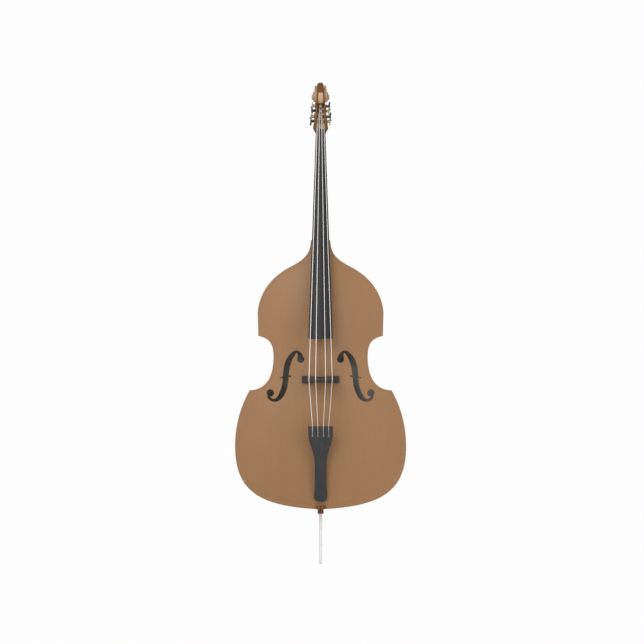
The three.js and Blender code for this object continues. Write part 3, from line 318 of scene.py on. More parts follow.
def wound(name, color):
    """Flat-wound steel: fine rings round the string, with painted shade in the grooves between them."""
    paint = Paint(name, 0.34, 0.55)
    rings = paint.wave(paint.stretched((0, 0, 1)), 640.0, 0.0, "Z", 0.0, 1.0)
    wear = paint.noise(paint.place, 60.0, 4.0)
    # Painted shade: darker where the rings' bump sinks, in the grooves between the wraps.
    tone = paint.ramp(rings, [(0.0, shade(color, 0.84)), (0.35, color), (1.0, shade(color, 1.04))])
    rough = paint.spread(wear, 0.28, 0.42, 0.3, 0.7)
    return paint.use(color=tone, roughness=rough, normal=paint.bump(rings, 0.25, 0.0002))


def cord_skin(name, color):
    """Twisted gut, with its strands on a slant, painted shade in the grooves between them and a painted highlight
    along their crests.
    """
    paint = Paint(name, 0.5)
    strands = paint.wave(paint.stretched((1, 1, 1.4), (0.6, 0.5, 0)), 260.0, 0.6, "DIAGONAL", 1.0, 1.0)
    wear = paint.noise(paint.place, 160.0, 3.0)
    # Painted shade and highlight: darker where the strands' bump sinks, lighter along its crests.
    tone = paint.ramp(strands, [(0.0, shade(color, 0.62)), (0.4, color), (1.0, shade(color, 1.15))])
    rough = paint.spread(wear, 0.42, 0.6)
    return paint.use(color=tone, roughness=rough, normal=paint.bump(strands, 0.5, 0.0005))


# The record's colours, by slot, in linear light. Gloss adds its own pale veil, so wood starts darker.
SLOT_COLORS = {m["slot"]: tuple(m["base_color"][:3]) for m in frame["record"]["materials"]}
VEIL = 0.04
BODY_BROWN = tuple(c - VEIL for c in SLOT_COLORS["varnished_wood"])
DARK_EBONY = tuple(c - VEIL / 2 for c in SLOT_COLORS["dark_ebony"])
TAN = (0.52, 0.335, 0.205)
PALE_TAN = (0.9, 0.76, 0.6)
BELLY = spruce("belly_varnish", BODY_BROWN, 0.07, 0.08)
BACK = maple("back_varnish", BODY_BROWN, 0.1)
RIB = maple("rib_varnish", BODY_BROWN, 0.1, "X")
NECK_TONE = tuple(c * k for c, k in zip(SLOT_COLORS["brown_maple"], (0.76, 0.71, 0.56)))
NECK_BROWN = maple("neck_varnish", NECK_TONE, 0.12, coat=0.0, specular=0.22)
NECK_TAN = maple("scroll_tan", TAN, 0.07)
NECK_PALE = maple("pegbox_floor", PALE_TAN, 0.05)
SCROLL_EAR = maple("scroll_ear", (0.42, 0.285, 0.185), 0.07)
# Painted shade: a near-black colour for the pegbox's flaring foot beside the nut, where it overhangs the neck.
NECK_SHADED_FOOT = maple("pegbox_foot_painted_shade", (0.062, 0.043, 0.034), 0.1)
RAW = spruce("raw_spruce", SLOT_COLORS["bare_spruce"], 0.16, 0.0)
INSIDE = spruce("inside_wood", (0.80, 0.79, 0.785), 0.1, 0.0)
EBONY = ebony("ebony", DARK_EBONY)
# Painted shade: the fingerboard gets a copy of the ebony darkened to 0.6, to offset the sky its tilted face
# reflects.
SHADED_BOARD_EBONY = ebony("board_ebony_painted_shade", shade(DARK_EBONY, 0.6), specular=0.26)
ROSEWOOD = ebony("rosewood", SLOT_COLORS["rosewood"], 0.34)
ROLLER = ebony("roller_wood", SLOT_COLORS["dark_roller_wood"])
STRING = wound("flat_wound_steel", (0.80, 0.765, 0.72))
ROD = metal("polished_rod", (0.80, 0.80, 0.80), 0.36, 0.3, (700, 700, 9), 0.04)
BLACK = metal("black_steel", SLOT_COLORS["black_steel"], 0.4, 0.5, (300, 300, 300))
BRASS = metal("aged_brass", (0.58, 0.49, 0.34), 0.34, 1.0, (400, 60, 60))
GUT = cord_skin("gut", (0.19, 0.105, 0.045))


# ---- Mesh building ----

def part(points, faces, material=0):
    return {"points": [tuple(p) for p in points], "faces": faces, "materials": [material] * len(faces)}


def loft(rings, caps=True, closed=True, around=False, material=0):
    """A skin over rings of equal length. around joins the last ring to the first."""
    count = len(rings[0])
    points = [p for ring in rings for p in ring]
    faces = []
    rows = len(rings) if around else len(rings) - 1
    for i in range(rows):
        a, b = i * count, ((i + 1) % len(rings)) * count
        for k in range(count if closed else count - 1):
            n = (k + 1) % count
            faces.append((a + k, a + n, b + n, b + k))
    if caps and not around:
        last = (len(rings) - 1) * count
        faces.append(tuple(range(count))[::-1])
        faces.append(tuple(range(last, last + count)))
    return part(points, faces, material)


def lathe(profile, centre=(0, 0, 0), axis="Z", sides=48, closed=False, wobble=None, material=0):
    """A turned piece from (radius, height) pairs about an axis through centre."""
    place = {
        "Z": lambda r, h, c, s: (r * c, r * s, h),
        "Y": lambda r, h, c, s: (r * c, h, r * s),
        "X": lambda r, h, c, s: (h, r * c, r * s),
    }[axis]
    rings = []
    for radius, height in profile:
        ring = []
        for k in range(sides):
            angle = 2 * math.pi * k / sides
            r = radius * (wobble(angle, radius) if wobble else 1)
            ring.append(tuple(Vector(place(r, height, math.cos(angle), math.sin(angle))) + Vector(centre)))
        rings.append(ring)
    return loft(rings, caps=not closed, around=closed, material=material)


def tube(path, radius, sides=12, material=0):
    """A round cord along a path of points; radius is a number or one number for each point."""
    points = [Vector(p) for p in path]
    radii = radius if isinstance(radius, (list, tuple)) else [radius] * len(points)
    tangents = []
    for i in range(len(points)):
        ahead, behind = points[min(i + 1, len(points) - 1)], points[max(i - 1, 0)]
        tangents.append((ahead - behind).normalized())
    side = tangents[0].orthogonal().normalized()
    rings = []
    for point, tangent, r in zip(points, tangents, radii):
        side = (side - tangent * side.dot(tangent)).normalized()
        other = tangent.cross(side)
        angles = [2 * math.pi * k / sides for k in range(sides)]
        rings.append([tuple(point + r * (math.cos(a) * side + math.sin(a) * other)) for a in angles])
    return loft(rings, material=material)


def rounded_box(low, high, radius, segments=3, material=0):
    """A block with its edges rounded."""
    mesh = bmesh.new()
    size, centre = Vector(high) - Vector(low), (Vector(high) + Vector(low)) / 2
    bmesh.ops.create_cube(mesh, size=1)
    for vertex in mesh.verts:
        vertex.co = Vector(c * s for c, s in zip(vertex.co, size)) + centre
    bmesh.ops.bevel(mesh, geom=mesh.edges[:], offset=radius, segments=segments, profile=0.5, affect="EDGES")
    mesh.verts.index_update()
    made = part([v.co for v in mesh.verts], [tuple(v.index for v in f.verts) for f in mesh.faces], material)
    mesh.free()
    return made


def build(name, shapes, materials, body="root", nodes=(), crease=35):
    """Makes one Blender piece from parts, hides the CAD nodes it stands for and sets what it rides on."""
    points, faces, indices = [], [], []
    for shape in shapes if isinstance(shapes, list) else [shapes]:
        start = len(points)
        points += [tuple(c * METRES for c in p) for p in shape["points"]]
        faces += [tuple(start + k for k in face) for face in shape["faces"]]
        indices += shape["materials"]
    mesh = bpy.data.meshes.new(name)
    mesh.from_pydata(points, [], faces)
    for material in materials if isinstance(materials, list) else [materials]:
        mesh.materials.append(material)
    mesh.polygons.foreach_set("material_index", indices)
    obj = bpy.data.objects.new(name, mesh)
    bpy.context.scene.collection.objects.link(obj)
    finish_mesh(obj, crease)
    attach(obj, body)
    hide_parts(*([nodes] if isinstance(nodes, str) else nodes))
    return obj


def finish_mesh(obj, crease):
    """Faces outwards, smooth shading, and sharp edges where the surface turns by more than crease degrees."""
    mesh = bmesh.new()
    mesh.from_mesh(obj.data)
    bmesh.ops.recalc_face_normals(mesh, faces=mesh.faces[:])
    mesh.to_mesh(obj.data)
    mesh.free()
    obj.data.shade_smooth()
    obj.data.set_sharp_from_angle(angle=math.radians(crease))


def cut(obj, shapes, operation="DIFFERENCE", crease=35):
    """Joins closed parts to a piece, or cuts them from it, one after another."""
    for shape in shapes:
        tool_mesh = bpy.data.meshes.new("tool")
        tool_mesh.from_pydata([tuple(c * METRES for c in p) for p in shape["points"]], [], shape["faces"])
        for material in obj.data.materials:
            tool_mesh.materials.append(material)
        tool_mesh.polygons.foreach_set("material_index", shape["materials"])
        tool = bpy.data.objects.new("tool", tool_mesh)
        bpy.context.scene.collection.objects.link(tool)
        finish_mesh(tool, crease)
        modifier = obj.modifiers.new("cut", "BOOLEAN")
        modifier.object, modifier.operation, modifier.solver = tool, operation, "MANIFOLD"
        bpy.context.view_layer.update()
        result = bpy.data.meshes.new_from_object(obj.evaluated_get(bpy.context.evaluated_depsgraph_get()))
        obj.modifiers.clear()
        obj.data = result
        bpy.data.objects.remove(tool)
    finish_mesh(obj, crease)
    return obj


def distances(points, loop):
    """How far each 2-D point is from a closed polyline."""
    start = np.array(loop, float)
    run = np.roll(start, -1, axis=0) - start
    length = np.maximum((run ** 2).sum(1), 1e-12)
    best = np.empty(len(points))
    for first in range(0, len(points), 2000):
        offset = points[first:first + 2000, None, :] - start[None]
        t = np.clip((offset * run[None]).sum(2) / length, 0, 1)
        best[first:first + 2000] = np.sqrt(((offset - t[..., None] * run[None]) ** 2).sum(2).min(1))
    return best


def within(points, loop):
    """Which 2-D points lie inside a closed polyline."""
    x, y = points[:, 0], points[:, 1]
    odd = np.zeros(len(points), bool)
    for (x0, y0), (x1, y1) in zip(loop, [*loop[1:], loop[0]]):
        if y0 != y1:
            odd ^= ((y0 > y) != (y1 > y)) & (x < (x1 - x0) * (y - y0) / (y1 - y0) + x0)
    return odd


def inset(loop, distance):
    """A closed polyline moved to its left by a distance, point by point."""
    moved_points = []
    for i, point in enumerate(loop):
        before = Vector(point) - Vector(loop[i - 1])
        after = Vector(loop[(i + 1) % len(loop)]) - Vector(point)
        tangent = before.normalized() + after.normalized()
        tangent = (tangent if tangent.length > 1e-6 else after).normalized()
        moved_points.append((point[0] - tangent.y * distance, point[1] + tangent.x * distance))
    return moved_points


def slab(outline, holes, front, back, rounding, spacing, material=0):
    """A plate over an outline with holes or notches, its edges rounded.

    outline runs anticlockwise and each hole too; front and back are functions of a point, its
    distance from the outline and its edge drop, and give the two surfaces.
    """
    loops = [outline, *holes]
    rings = [inset(outline, rounding * k) for k in (0.12, 0.4, 1)]
    rings += [inset(hole, -rounding * k * 0.5) for hole in holes for k in (0.3, 1)]
    coords, edges = [], []
    for loop in [*loops, *rings]:
        start = len(coords)
        coords += loop
        edges += [(start + k, start + (k + 1) % len(loop)) for k in range(len(loop))]
    xs, zs = zip(*outline)
    row_height = spacing * math.sqrt(3) / 2
    grid = []
    for row in range(int((max(zs) - min(zs)) / row_height) + 1):
        shift = spacing / 2 if row % 2 else 0
        count = int((max(xs) - min(xs)) / spacing) + 1
        grid += [(min(xs) + shift + k * spacing, min(zs) + row * row_height) for k in range(count)]
    grid = np.array(grid)
    grid = grid[within(grid, outline)]
    clear = distances(grid, outline) > rounding + spacing * 0.45
    for hole in holes:
        clear &= (distances(grid, hole) > rounding * 0.5 + spacing * 0.35) & ~within(grid, hole)
    coords += [tuple(p) for p in grid[clear]]
    flat, _, triangles, *_ = delaunay_2d_cdt([Vector(c) for c in coords], edges, [], 0, 1e-4)
    flat = np.array([(p.x, p.y) for p in flat])
    triangles = np.array(triangles)
    centres = flat[triangles].mean(1)
    kept = within(centres, outline)
    for hole in holes:
        kept &= ~within(centres, hole)
    triangles = triangles[kept]
    edge_distance = distances(flat, outline)
    drop = rounding - np.sqrt(np.maximum(0, rounding ** 2 - np.maximum(0, rounding - edge_distance) ** 2))
    half = rounding * 0.5
    for hole in holes:
        near = np.maximum(0, half - distances(flat, hole))
        drop = np.maximum(drop, half - np.sqrt(np.maximum(0, half ** 2 - near ** 2)))
    used = np.unique(triangles)
    number = {old: new for new, old in enumerate(used)}
    total = len(used)
    points = [front(*flat[k], edge_distance[k], drop[k]) for k in used]
    points += [back(*flat[k], edge_distance[k], drop[k]) for k in used]
    faces, border = [], {}
    for a, b, c in triangles:
        a, b, c = number[a], number[b], number[c]
        faces += [(a, b, c), (total + c, total + b, total + a)]
        for pair in ((a, b), (b, c), (c, a)):
            if pair[::-1] in border:
                del border[pair[::-1]]
            else:
                border[pair] = True
    faces += [(b, a, total + a, total + b) for a, b in border]
    return part(points, faces, material)


# ---- Where the tuning machines sit ----

ROLLER_STRING = (1, 2, 0, 3)  # which string winds on each roller
MACHINE_SEAT_X = (20.2, 20.2, 24.2, 24.2)
MACHINE_REACH, PLATE_THICKNESS, PLATE_HALF_Y = 14, 2.5, 20
ROLLER_RADIUS, SPINDLE_RADIUS = 5, 3.5
JOINT_PLACE = {j["name"]: [c / METRES for c in j["pos_m"]] for j in frame["joints"] if j.get("pos_m")}


def find_machines():
    """Each machine's axes come from the frame's joints: the roller turns about X, its key about Y."""
    machines = []
    for i, seat in enumerate(MACHINE_SEAT_X):
        _, y, z = JOINT_PLACE[f"roller_{i + 1}_turn"]
        worm_x, _, worm_z = JOINT_PLACE[f"key_{i + 1}_turn"]
        side = 1 if worm_x > 0 else -1
        up = 1 if worm_z > z else -1
        machines.append({
            "number": i + 1, "side": side, "up": up, "y": y, "z": z, "worm_z": worm_z, "seat": seat,
            "reach": seat + MACHINE_REACH, "ends": sorted((z - up * 14, worm_z + up * 7.5)),
        })
    return machines


MACHINES = find_machines()


# ---- Body outline ----

BOTTOM_Z, NECK_END_Z = 229, 1344
LOWER_BOUT, LOWER_CORNER, WAIST = (355, 490), (294.5, 722), (195.5, 862)
UPPER_CORNER, UPPER_BOUT, SHOULDER, NECK_END = (258.5, 947), (261, 1040), (123, 1235.5), (40.6, NECK_END_Z)
LOWER_EDGE = [
    [(24, BOTTOM_Z), (256, 243), (355, 305), LOWER_BOUT],
    [LOWER_BOUT, (355, 580), (330, 660), LOWER_CORNER],
]
CENTRE_EDGE = [
    [LOWER_CORNER, (215, 724), (195.5, 795), WAIST],
    [WAIST, (195.5, 905), (205, 937), UPPER_CORNER],
]
UPPER_EDGE = [
    [UPPER_CORNER, UPPER_BOUT],
    [UPPER_BOUT, (261, 1070), (247, 1173), SHOULDER],
    [SHOULDER, (78, 1259), (40.6, 1283), NECK_END],
]
ARCH_EDGE = [
    [(40, BOTTOM_Z), (230, BOTTOM_Z), (348, 340), (348, 490)],
    [(348, 490), (348, 640), (190, 720), (190, 862)],
    [(190, 862), (190, 950), (247, 975), (247, 1060)],
    [(247, 1060), (247, 1150), (200, 1180), (119, 1235)],
    [(119, 1235), (74, 1259), (36, 1285), (36, NECK_END_Z)],
]
RIB_FRONT_Y, RIB_BACK_Y, RIB_BACK_AT_NECK_Y, TAPER_START_Z = -95, 95, 78, 1040
OVERHANG, RIB_THICKNESS, PLATE_EDGE, PLATE_EXTRA = 6, 3, 6, 2
BELLY_CROWN, BACK_CROWN, BUTTON_RADIUS = 30, 24, 22
SCOOP_DEPTH, SCOOP_AT, SCOOP_WIDTH = 1.3, 13, 6  # the shallow channel just inside a plate's edge


def bezier(points, t):
    """A point on a straight line or Bezier curve of any order."""
    while len(points) > 1:
        points = [(lerp(a[0], b[0], t), lerp(a[1], b[1], t)) for a, b in zip(points, points[1:])]
    return points[0]


def sample(curves, steps):
    """Points along joined curves, each with its unit normal into the body: (x, z, normal x, normal z)."""
    samples = []
    for index, curve in enumerate(curves):
        for k in range(0 if index == 0 else 1, steps + 1):
            t = k / steps
            ahead, behind = bezier(curve, min(t + 0.001, 1)), bezier(curve, max(t - 0.001, 0))
            tangent = (Vector(ahead) - Vector(behind)).normalized()
            samples.append((*bezier(curve, t), -tangent.y, tangent.x))
    return samples


def curve_points(curves, steps):
    """The points alone."""
    return [s[:2] for s in sample(curves, steps)]


def mirrored(points):
    """Points reflected in the centre line, in the order that keeps a loop anticlockwise."""
    return [(-x, z) for x, z in reversed(points)]


ARCH_TABLE = [(z, x) for x, z in curve_points(ARCH_EDGE, 24)]


def arch_height(x, z, crown):
    along = (z - BOTTOM_Z) / (NECK_END_Z - BOTTOM_Z)
    ridge = max(0, 1 - abs(2 * along - 1) ** 3)
    across = min(1, abs(x) / interpolate(ARCH_TABLE, z))
    return crown * ridge * math.cos(math.pi * across / 2) ** 2


def rib_back_y(z):
    return lerp(RIB_BACK_Y, RIB_BACK_AT_NECK_Y, clamp((z - TAPER_START_Z) / (NECK_END_Z - TAPER_START_Z)))


def belly_y(x, z):
    """The belly's outer surface."""
    return RIB_FRONT_Y - GAP - arch_height(x, z, BELLY_CROWN) - PLATE_EDGE


def back_y(x, z):
    """The back's outer surface."""
    return rib_back_y(z) + GAP + arch_height(x, z, BACK_CROWN) + PLATE_EDGE


def scoop(edge_distance):
    return SCOOP_DEPTH * math.exp(-((edge_distance - SCOOP_AT) / SCOOP_WIDTH) ** 2)


def plate_thickness(x, z, crown):
    return PLATE_EDGE + PLATE_EXTRA * arch_height(x, z, crown) / crown


def body_outline(top):
    """The whole outline of a plate, anticlockwise, with extra points across its top."""
    right = curve_points(LOWER_EDGE, 40)
    right += curve_points(CENTRE_EDGE, 28)[1:]
    right += curve_points(UPPER_EDGE, 22)[1:]
    return right + top + mirrored(right)


# ---- Plates ----

SOUND_STEM = [
    (84, 860, 12), (86, 870, 9), (92, 878, 6), (101, 882, 5), (115, 871, 8.5), (131, 846, 11.5),
    (141, 812, 12), (145, 778, 11.4), (148, 744, 11.2), (159, 711, 11), (172, 690, 9),
    (190, 680, 6), (209, 686, 5), (217, 698, 6.5),
]
SOUND_EYES = [(82.3, 850.3, 14.4), (208.5, 710.6, 14.8)]
SOUND_NICK = (144.9, 777.5, 22.5, 2.75, 9)  # centre, half length, half width and slant in degrees


def spline(points, steps):
    """A smooth line through points of any dimension, with steps between each two."""
    rows = np.array(points, float)
    padded = np.vstack([2 * rows[0] - rows[1], rows, 2 * rows[-1] - rows[-2]])
    line = []
    for i in range(len(rows) - 1):
        a, b, c, d = padded[i:i + 4]
        for k in range(steps):
            t = k / steps
            line.append(0.5 * (2 * b + (c - a) * t + (2 * a - 5 * b + 4 * c - d) * t ** 2
                               + (3 * b - 3 * c + d - a) * t ** 3))
    return [*line, rows[-1]]


def circle(x, z, radius, count):
    angles = [2 * math.pi * k / count for k in range(count)]
    return [(x + radius * math.cos(a), z + radius * math.sin(a)) for a in angles]


def sound_hole(side):
    """The overlapping loops of one f-hole: its stem, its two eyes and its nick."""
    middle = spline(SOUND_STEM, 5)
    left, right = [], []
    for i, (x, z, half) in enumerate(middle):
        ahead, behind = middle[min(i + 1, len(middle) - 1)], middle[max(i - 1, 0)]
        tangent = (Vector(ahead[:2]) - Vector(behind[:2])).normalized()
        left.append((x - tangent.y * half, z + tangent.x * half))
        right.append((x + tangent.y * half, z - tangent.x * half))
    loops = [right + left[::-1]]
    loops += [circle(x, z, radius, 36) for x, z, radius in SOUND_EYES]
    x, z, half_length, half_width, slant = SOUND_NICK
    turn = -math.radians(slant)
    corners = [(-half_length, -half_width), (half_length, -half_width), (half_length, half_width),
               (-half_length, half_width)]
    loops.append([(x + a * math.cos(turn) - b * math.sin(turn), z + a * math.sin(turn) + b * math.cos(turn))
                  for a, b in corners])
    return loops if side > 0 else [mirrored(loop) for loop in loops]


def arched_plate(outline, holes, outer_y, crown, facing):
    """A carved plate with its inner face in the second material. facing is -1 in front, 1 at the back."""
    def outside(x, z, edge_distance, drop):
        return x, outer_y(x, z) - facing * (scoop(edge_distance) + drop), z

    def inside(x, z, edge_distance, drop):
        return x, outer_y(x, z) - facing * (plate_thickness(x, z, crown) - drop), z

    plate = slab(outline, holes, outside, inside, rounding=2.6, spacing=7)
    half = len(plate["points"]) // 2
    plate["materials"] = [1 if min(face) >= half else 0 for face in plate["faces"]]
    return plate


def add_plates():
    holes = [loop for side in SIDES for loop in sound_hole(side)]
    belly = arched_plate(body_outline([]), holes, belly_y, BELLY_CROWN, -1)
    build("belly", belly, [BELLY, INSIDE], nodes="top_plate", crease=40)
    button = [(BUTTON_RADIUS * math.cos(a), NECK_END_Z + BUTTON_RADIUS * math.sin(a))
              for a in np.linspace(0, math.pi, 25)]
    back = arched_plate(body_outline(button), [], back_y, BACK_CROWN, 1)
    build("back", back, [BACK, INSIDE], nodes="back_plate", crease=40)


# ---- Ribs and the pieces inside ----

RIB_INSIDE = OVERHANG + RIB_THICKNESS + GAP
RIB_END_X = 286  # where the waist's ribs stop at the corners
PLUG_RADIUS = 13.4
EDGES = {
    "lower": [(GAP / 2, BOTTOM_Z, 0, 1), *sample(LOWER_EDGE, 40)],
    "centre": sample(CENTRE_EDGE, 30),
    "upper": sample(UPPER_EDGE, 24),
}


def offset_line(samples, distance):
    return [(x + nx * distance, z + nz * distance) for x, z, nx, nz in samples]


def prolonged(line, length):
    first = Vector(line[0]) + (Vector(line[0]) - Vector(line[1])).normalized() * length
    last = Vector(line[-1]) + (Vector(line[-1]) - Vector(line[-2])).normalized() * length
    return [tuple(first), *line, tuple(last)]


def trimmed(line, cutter):
    """A polyline from its start to where it first meets another."""
    for i, (p, q) in enumerate(zip(line, line[1:])):
        for a, b in zip(cutter, cutter[1:]):
            hit = intersect_line_line_2d(p, q, a, b)
            if hit:
                return [*line[:i + 1], tuple(hit)]
    return line


def resampled(line, count):
    """The same polyline with evenly spaced points."""
    rows = np.array(line)
    run = np.concatenate([[0], np.cumsum(np.hypot(*np.diff(rows, axis=0).T))])
    at = np.linspace(0, run[-1], count)
    return list(zip(np.interp(at, run, rows[:, 0]), np.interp(at, run, rows[:, 1])))


def rib_line(name, distance):
    """One face of a rib, seen from the front, ending on its neighbour."""
    line = offset_line(EDGES[name], distance)
    centre = prolonged(offset_line(EDGES["centre"], RIB_INSIDE), 30)
    if name == "lower":
        return trimmed(line, centre)
    if name == "upper":
        return trimmed(line[::-1], centre)[::-1]
    return trimmed(line[::-1], [(RIB_END_X, 650), (RIB_END_X, 1000)])


def rib_shape(name, side):
    count = 90
    rings = []
    outer = resampled(rib_line(name, OVERHANG), count)
    inner = resampled(rib_line(name, OVERHANG + RIB_THICKNESS), count)
    for (ox, oz), (ix, iz) in zip(outer, inner):
        rings.append([
            (side * ox, RIB_FRONT_Y, oz), (side * ox, rib_back_y(oz), oz),
            (side * ix, rib_back_y(iz), iz), (side * ix, RIB_FRONT_Y, iz),
        ])
    rib = loft(rings)
    rib["materials"] = [1 if face[0] % 4 == 2 and len(face) == 4 else 0 for face in rib["faces"]]
    return rib


def add_ribs():
    for side in SIDES:
        for name in EDGES:
            node = f"{name}_rib_{SIDE_NAMES[side]}"
            rib = build(node + "_bent", rib_shape(name, side), [RIB, INSIDE], nodes=node)
            if name == "lower":
                cut(rib, [lathe([(PLUG_RADIUS + GAP, BOTTOM_Z - 5), (PLUG_RADIUS + GAP, BOTTOM_Z + 40)])])


def finish_inner_nodes():
    """The blocks, linings, bass bar and sound post are already the right shape: they get raw spruce."""
    for name, node in frame["nodes"].items():
        if "block" in name or "lining" in name or name in ("bass_bar", "sound_post"):
            node.data.materials.clear()
            node.data.materials.append(RAW)


# ---- Fingerboard, neck and pegbox ----

NUT_Z, NUT_LENGTH = 1800, 6
BOARD_END_Z = 935
BOARD_SLOPE = math.tan(math.radians(12))
BOARD_Y_AT_NUT = -52
BOARD_HALF_AT_NUT, BOARD_HALF_AT_END = 19.7, 50.6
BOARD_CAMBER_AT_NUT, BOARD_CAMBER_AT_END = 5, 14
BOARD_SIDE, BOARD_SIDE_GROWTH, BOARD_HOLLOW = 9, 1.5, 9
NECK_DEPTH_AT_NUT, NECK_DEPTH_GROWTH = 42, 6
HEEL_START_Z, HEEL_FOOT_Z, HEEL_BACK_SHRINK = 1480, 1362, 0.3
TENON = ((-15, -85, NECK_END_Z - 20), (15, 66, NECK_END_Z + 5))
PEGBOX_Z, PEGBOX_TOP_Z, PEGBOX_HOLLOW_TOP_Z = 1787, 1946, 1913
PEGBOX_FRONT_Y, PEGBOX_LEAN, PEGBOX_DEPTH, PEGBOX_DEPTH_TAPER, PEGBOX_FLOOR = -50, 0.3, 62, 0.08, 11
PEGBOX_OUTSIDE = [
    (PEGBOX_Z, 20.5), (1808, 32), (1837, 27.5), (1853, 25.2), (1880, 22), (1902, 20.4), (1926, 19.6),
    (PEGBOX_TOP_Z, 17.8),
]
PEGBOX_INSIDE = [(NUT_Z + NUT_LENGTH, 17.4), (1837, 16), (1902, 12.8), (PEGBOX_HOLLOW_TOP_Z, 11.6)]


# The second height is where the painted shade on the pegbox's flaring foot stops.
PALE_FLOOR_TOP_Z, SHADED_FOOT_TOP_Z = 1890, 1807
BROWN_OUTSIDE, TAN_INSIDE, PALE_INSIDE, SHADED_FOOT = range(4)  # the neck's materials, in their order
FAR_FRONT_Y = -120  # a cutting shape reaches this far forwards


def board_t(z):
    return (NUT_Z - z) / (NUT_Z - BOARD_END_Z)


def board_y(z):
    return BOARD_Y_AT_NUT - (NUT_Z - z) * BOARD_SLOPE


def board_half(z):
    return lerp(BOARD_HALF_AT_NUT, BOARD_HALF_AT_END, board_t(z))


def board_camber(z):
    return lerp(BOARD_CAMBER_AT_NUT, BOARD_CAMBER_AT_END, board_t(z))


def glue_y(z):
    """The flat face where the fingerboard is glued to the neck."""
    return board_y(z) + board_camber(z) + BOARD_SIDE + BOARD_SIDE_GROWTH * board_t(z)


def rounding_drop(distance, radius):
    """How far a rounded edge falls below a face, at a distance from that edge."""
    return radius - math.sqrt(max(0, radius ** 2 - max(0, radius - distance) ** 2))


def board_ring(z, drop):
    """One section of the fingerboard, drawn in by a rounding drop near its ends."""
    half = board_half(z) - drop
    fillet = 1.6
    free = max(0, (NECK_END_Z - 4 - z) / (NECK_END_Z - 4 - BOARD_END_Z))

    def front(x):
        return board_y(z) + board_camber(z) * (x / half) ** 2 + drop

    def rear(x):
        return glue_y(z) - BOARD_HOLLOW * math.sqrt(free) * (1 - (x / half) ** 2) - drop

    edge = [(half - fillet, front(half - fillet)), (half, front(half) - 0.2), (half, front(half) + fillet)]
    corner = [bezier(edge, t) for t in (0, 0.25, 0.5, 0.75, 1)]
    ring = [(x, front(x)) for x in np.linspace(fillet - half, half - fillet, 25)[1:-1]]
    ring += corner
    ring += [(half, glue_y(z) - drop - 0.8), (half - 0.8, glue_y(z) - drop)]
    ring += [(x, rear(x)) for x in np.linspace(half - 2, 2 - half, 17)]
    ring += [(0.8 - half, glue_y(z) - drop), (-half, glue_y(z) - drop - 0.8)]
    ring += [(-x, y) for x, y in reversed(corner)]
    return [(x, y, z) for x, y in ring]


def add_fingerboard():
    radius = 1.6
    ends = (0, 0.15, 0.5, 1, 1.6)
    stations = [BOARD_END_Z + e for e in ends]
    stations += list(np.linspace(BOARD_END_Z + 12, NUT_Z - 12, 48))
    stations += [NUT_Z - e for e in reversed(ends)]
    rings = [board_ring(z, rounding_drop(min(z - BOARD_END_Z, NUT_Z - z), radius) * 0.6) for z in stations]
    build("fingerboard_planed", loft(rings), SHADED_BOARD_EBONY, nodes="fingerboard")


def neck_back_y(z):
    growth = NECK_DEPTH_GROWTH * (NUT_Z - z) / (NUT_Z - HEEL_START_Z)
    return board_y(z) + NECK_DEPTH_AT_NUT + growth


def heel_growth(z):
    q = clamp((HEEL_START_Z - z) / (HEEL_START_Z - HEEL_FOOT_Z))
    return 1 - math.sqrt(1 - q * q)


def neck_ring(z):
    grown = heel_growth(z)
    front = glue_y(z) + GAP
    depth = lerp(neck_back_y(z), RIB_BACK_AT_NECK_Y, grown) - front
    roundness = lerp(0.8, 0.42, grown)
    ring = []
    for angle in np.linspace(0, math.pi, 33):
        cosine = math.cos(angle)
        inward = max(0, math.sin(angle)) ** roundness
        half = (board_half(z) - GAP) * (1 - HEEL_BACK_SHRINK * grown * inward)
        ring.append((math.copysign(half * abs(cosine) ** roundness, cosine), front + depth * inward, z))
    return ring


def pegbox_front_y(z):
    return PEGBOX_FRONT_Y + (z - NUT_Z - NUT_LENGTH) * PEGBOX_LEAN


def pegbox_back_y(z):
    return pegbox_front_y(z) + PEGBOX_DEPTH - (z - NUT_Z - NUT_LENGTH) * PEGBOX_DEPTH_TAPER


def rounded_ring(half, front, back, z, front_radius, back_radius, steps=6):
    """A level rectangle with rounded corners."""
    corners = [
        (half, front, front_radius, -90), (half, back, back_radius, 0),
        (-half, back, back_radius, 90), (-half, front, front_radius, 180),
    ]
    ring = []
    for x, y, radius, start in corners:
        centre_x = x - math.copysign(radius, x)
        centre_y = y + (radius if y == front else -radius)
        for k in range(steps + 1):
            angle = math.radians(start + 90 * k / steps)
            ring.append((centre_x + radius * math.cos(angle), centre_y + radius * math.sin(angle), z))
    return ring


def pegbox_block():
    rings = []
    for z in np.linspace(PEGBOX_Z, PEGBOX_TOP_Z, 80):
        half = eased(PEGBOX_OUTSIDE, clamp(z, PEGBOX_Z, PEGBOX_TOP_Z), 2.5)
        front, back = pegbox_front_y(z), pegbox_back_y(z)
        rings.append(rounded_ring(half, front, back, z, front_radius=2.2, back_radius=7))
    return loft(rings)


def pegbox_hollow():
    rows = [(NUT_Z + NUT_LENGTH + 2 * GAP, 17.4), *PEGBOX_INSIDE[1:]]
    rings = []
    for z in np.linspace(rows[0][0], rows[-1][0], 24):
        floor_y = pegbox_back_y(z) - PEGBOX_FLOOR
        half = interpolate(rows, z)
        rings.append(rounded_ring(half, FAR_FRONT_Y, floor_y, z, front_radius=1, back_radius=3))
    return loft(rings, material=1)


def board_seat():
    rings = []
    for z in (PEGBOX_Z - 8, NUT_Z + NUT_LENGTH + 2 * GAP):
        half = board_half(z) + GAP
        floor_y = glue_y(z) + GAP
        corners = ((-half, FAR_FRONT_Y), (half, FAR_FRONT_Y), (half, floor_y), (-half, floor_y))
        rings.append([(x, y, z) for x, y in corners])
    return loft(rings)


def solid_box(low, high):
    (x0, y0, z0), (x1, y1, z1) = low, high
    return loft([[(x0, y0, z), (x1, y0, z), (x1, y1, z), (x0, y1, z)] for z in (z0, z1)])


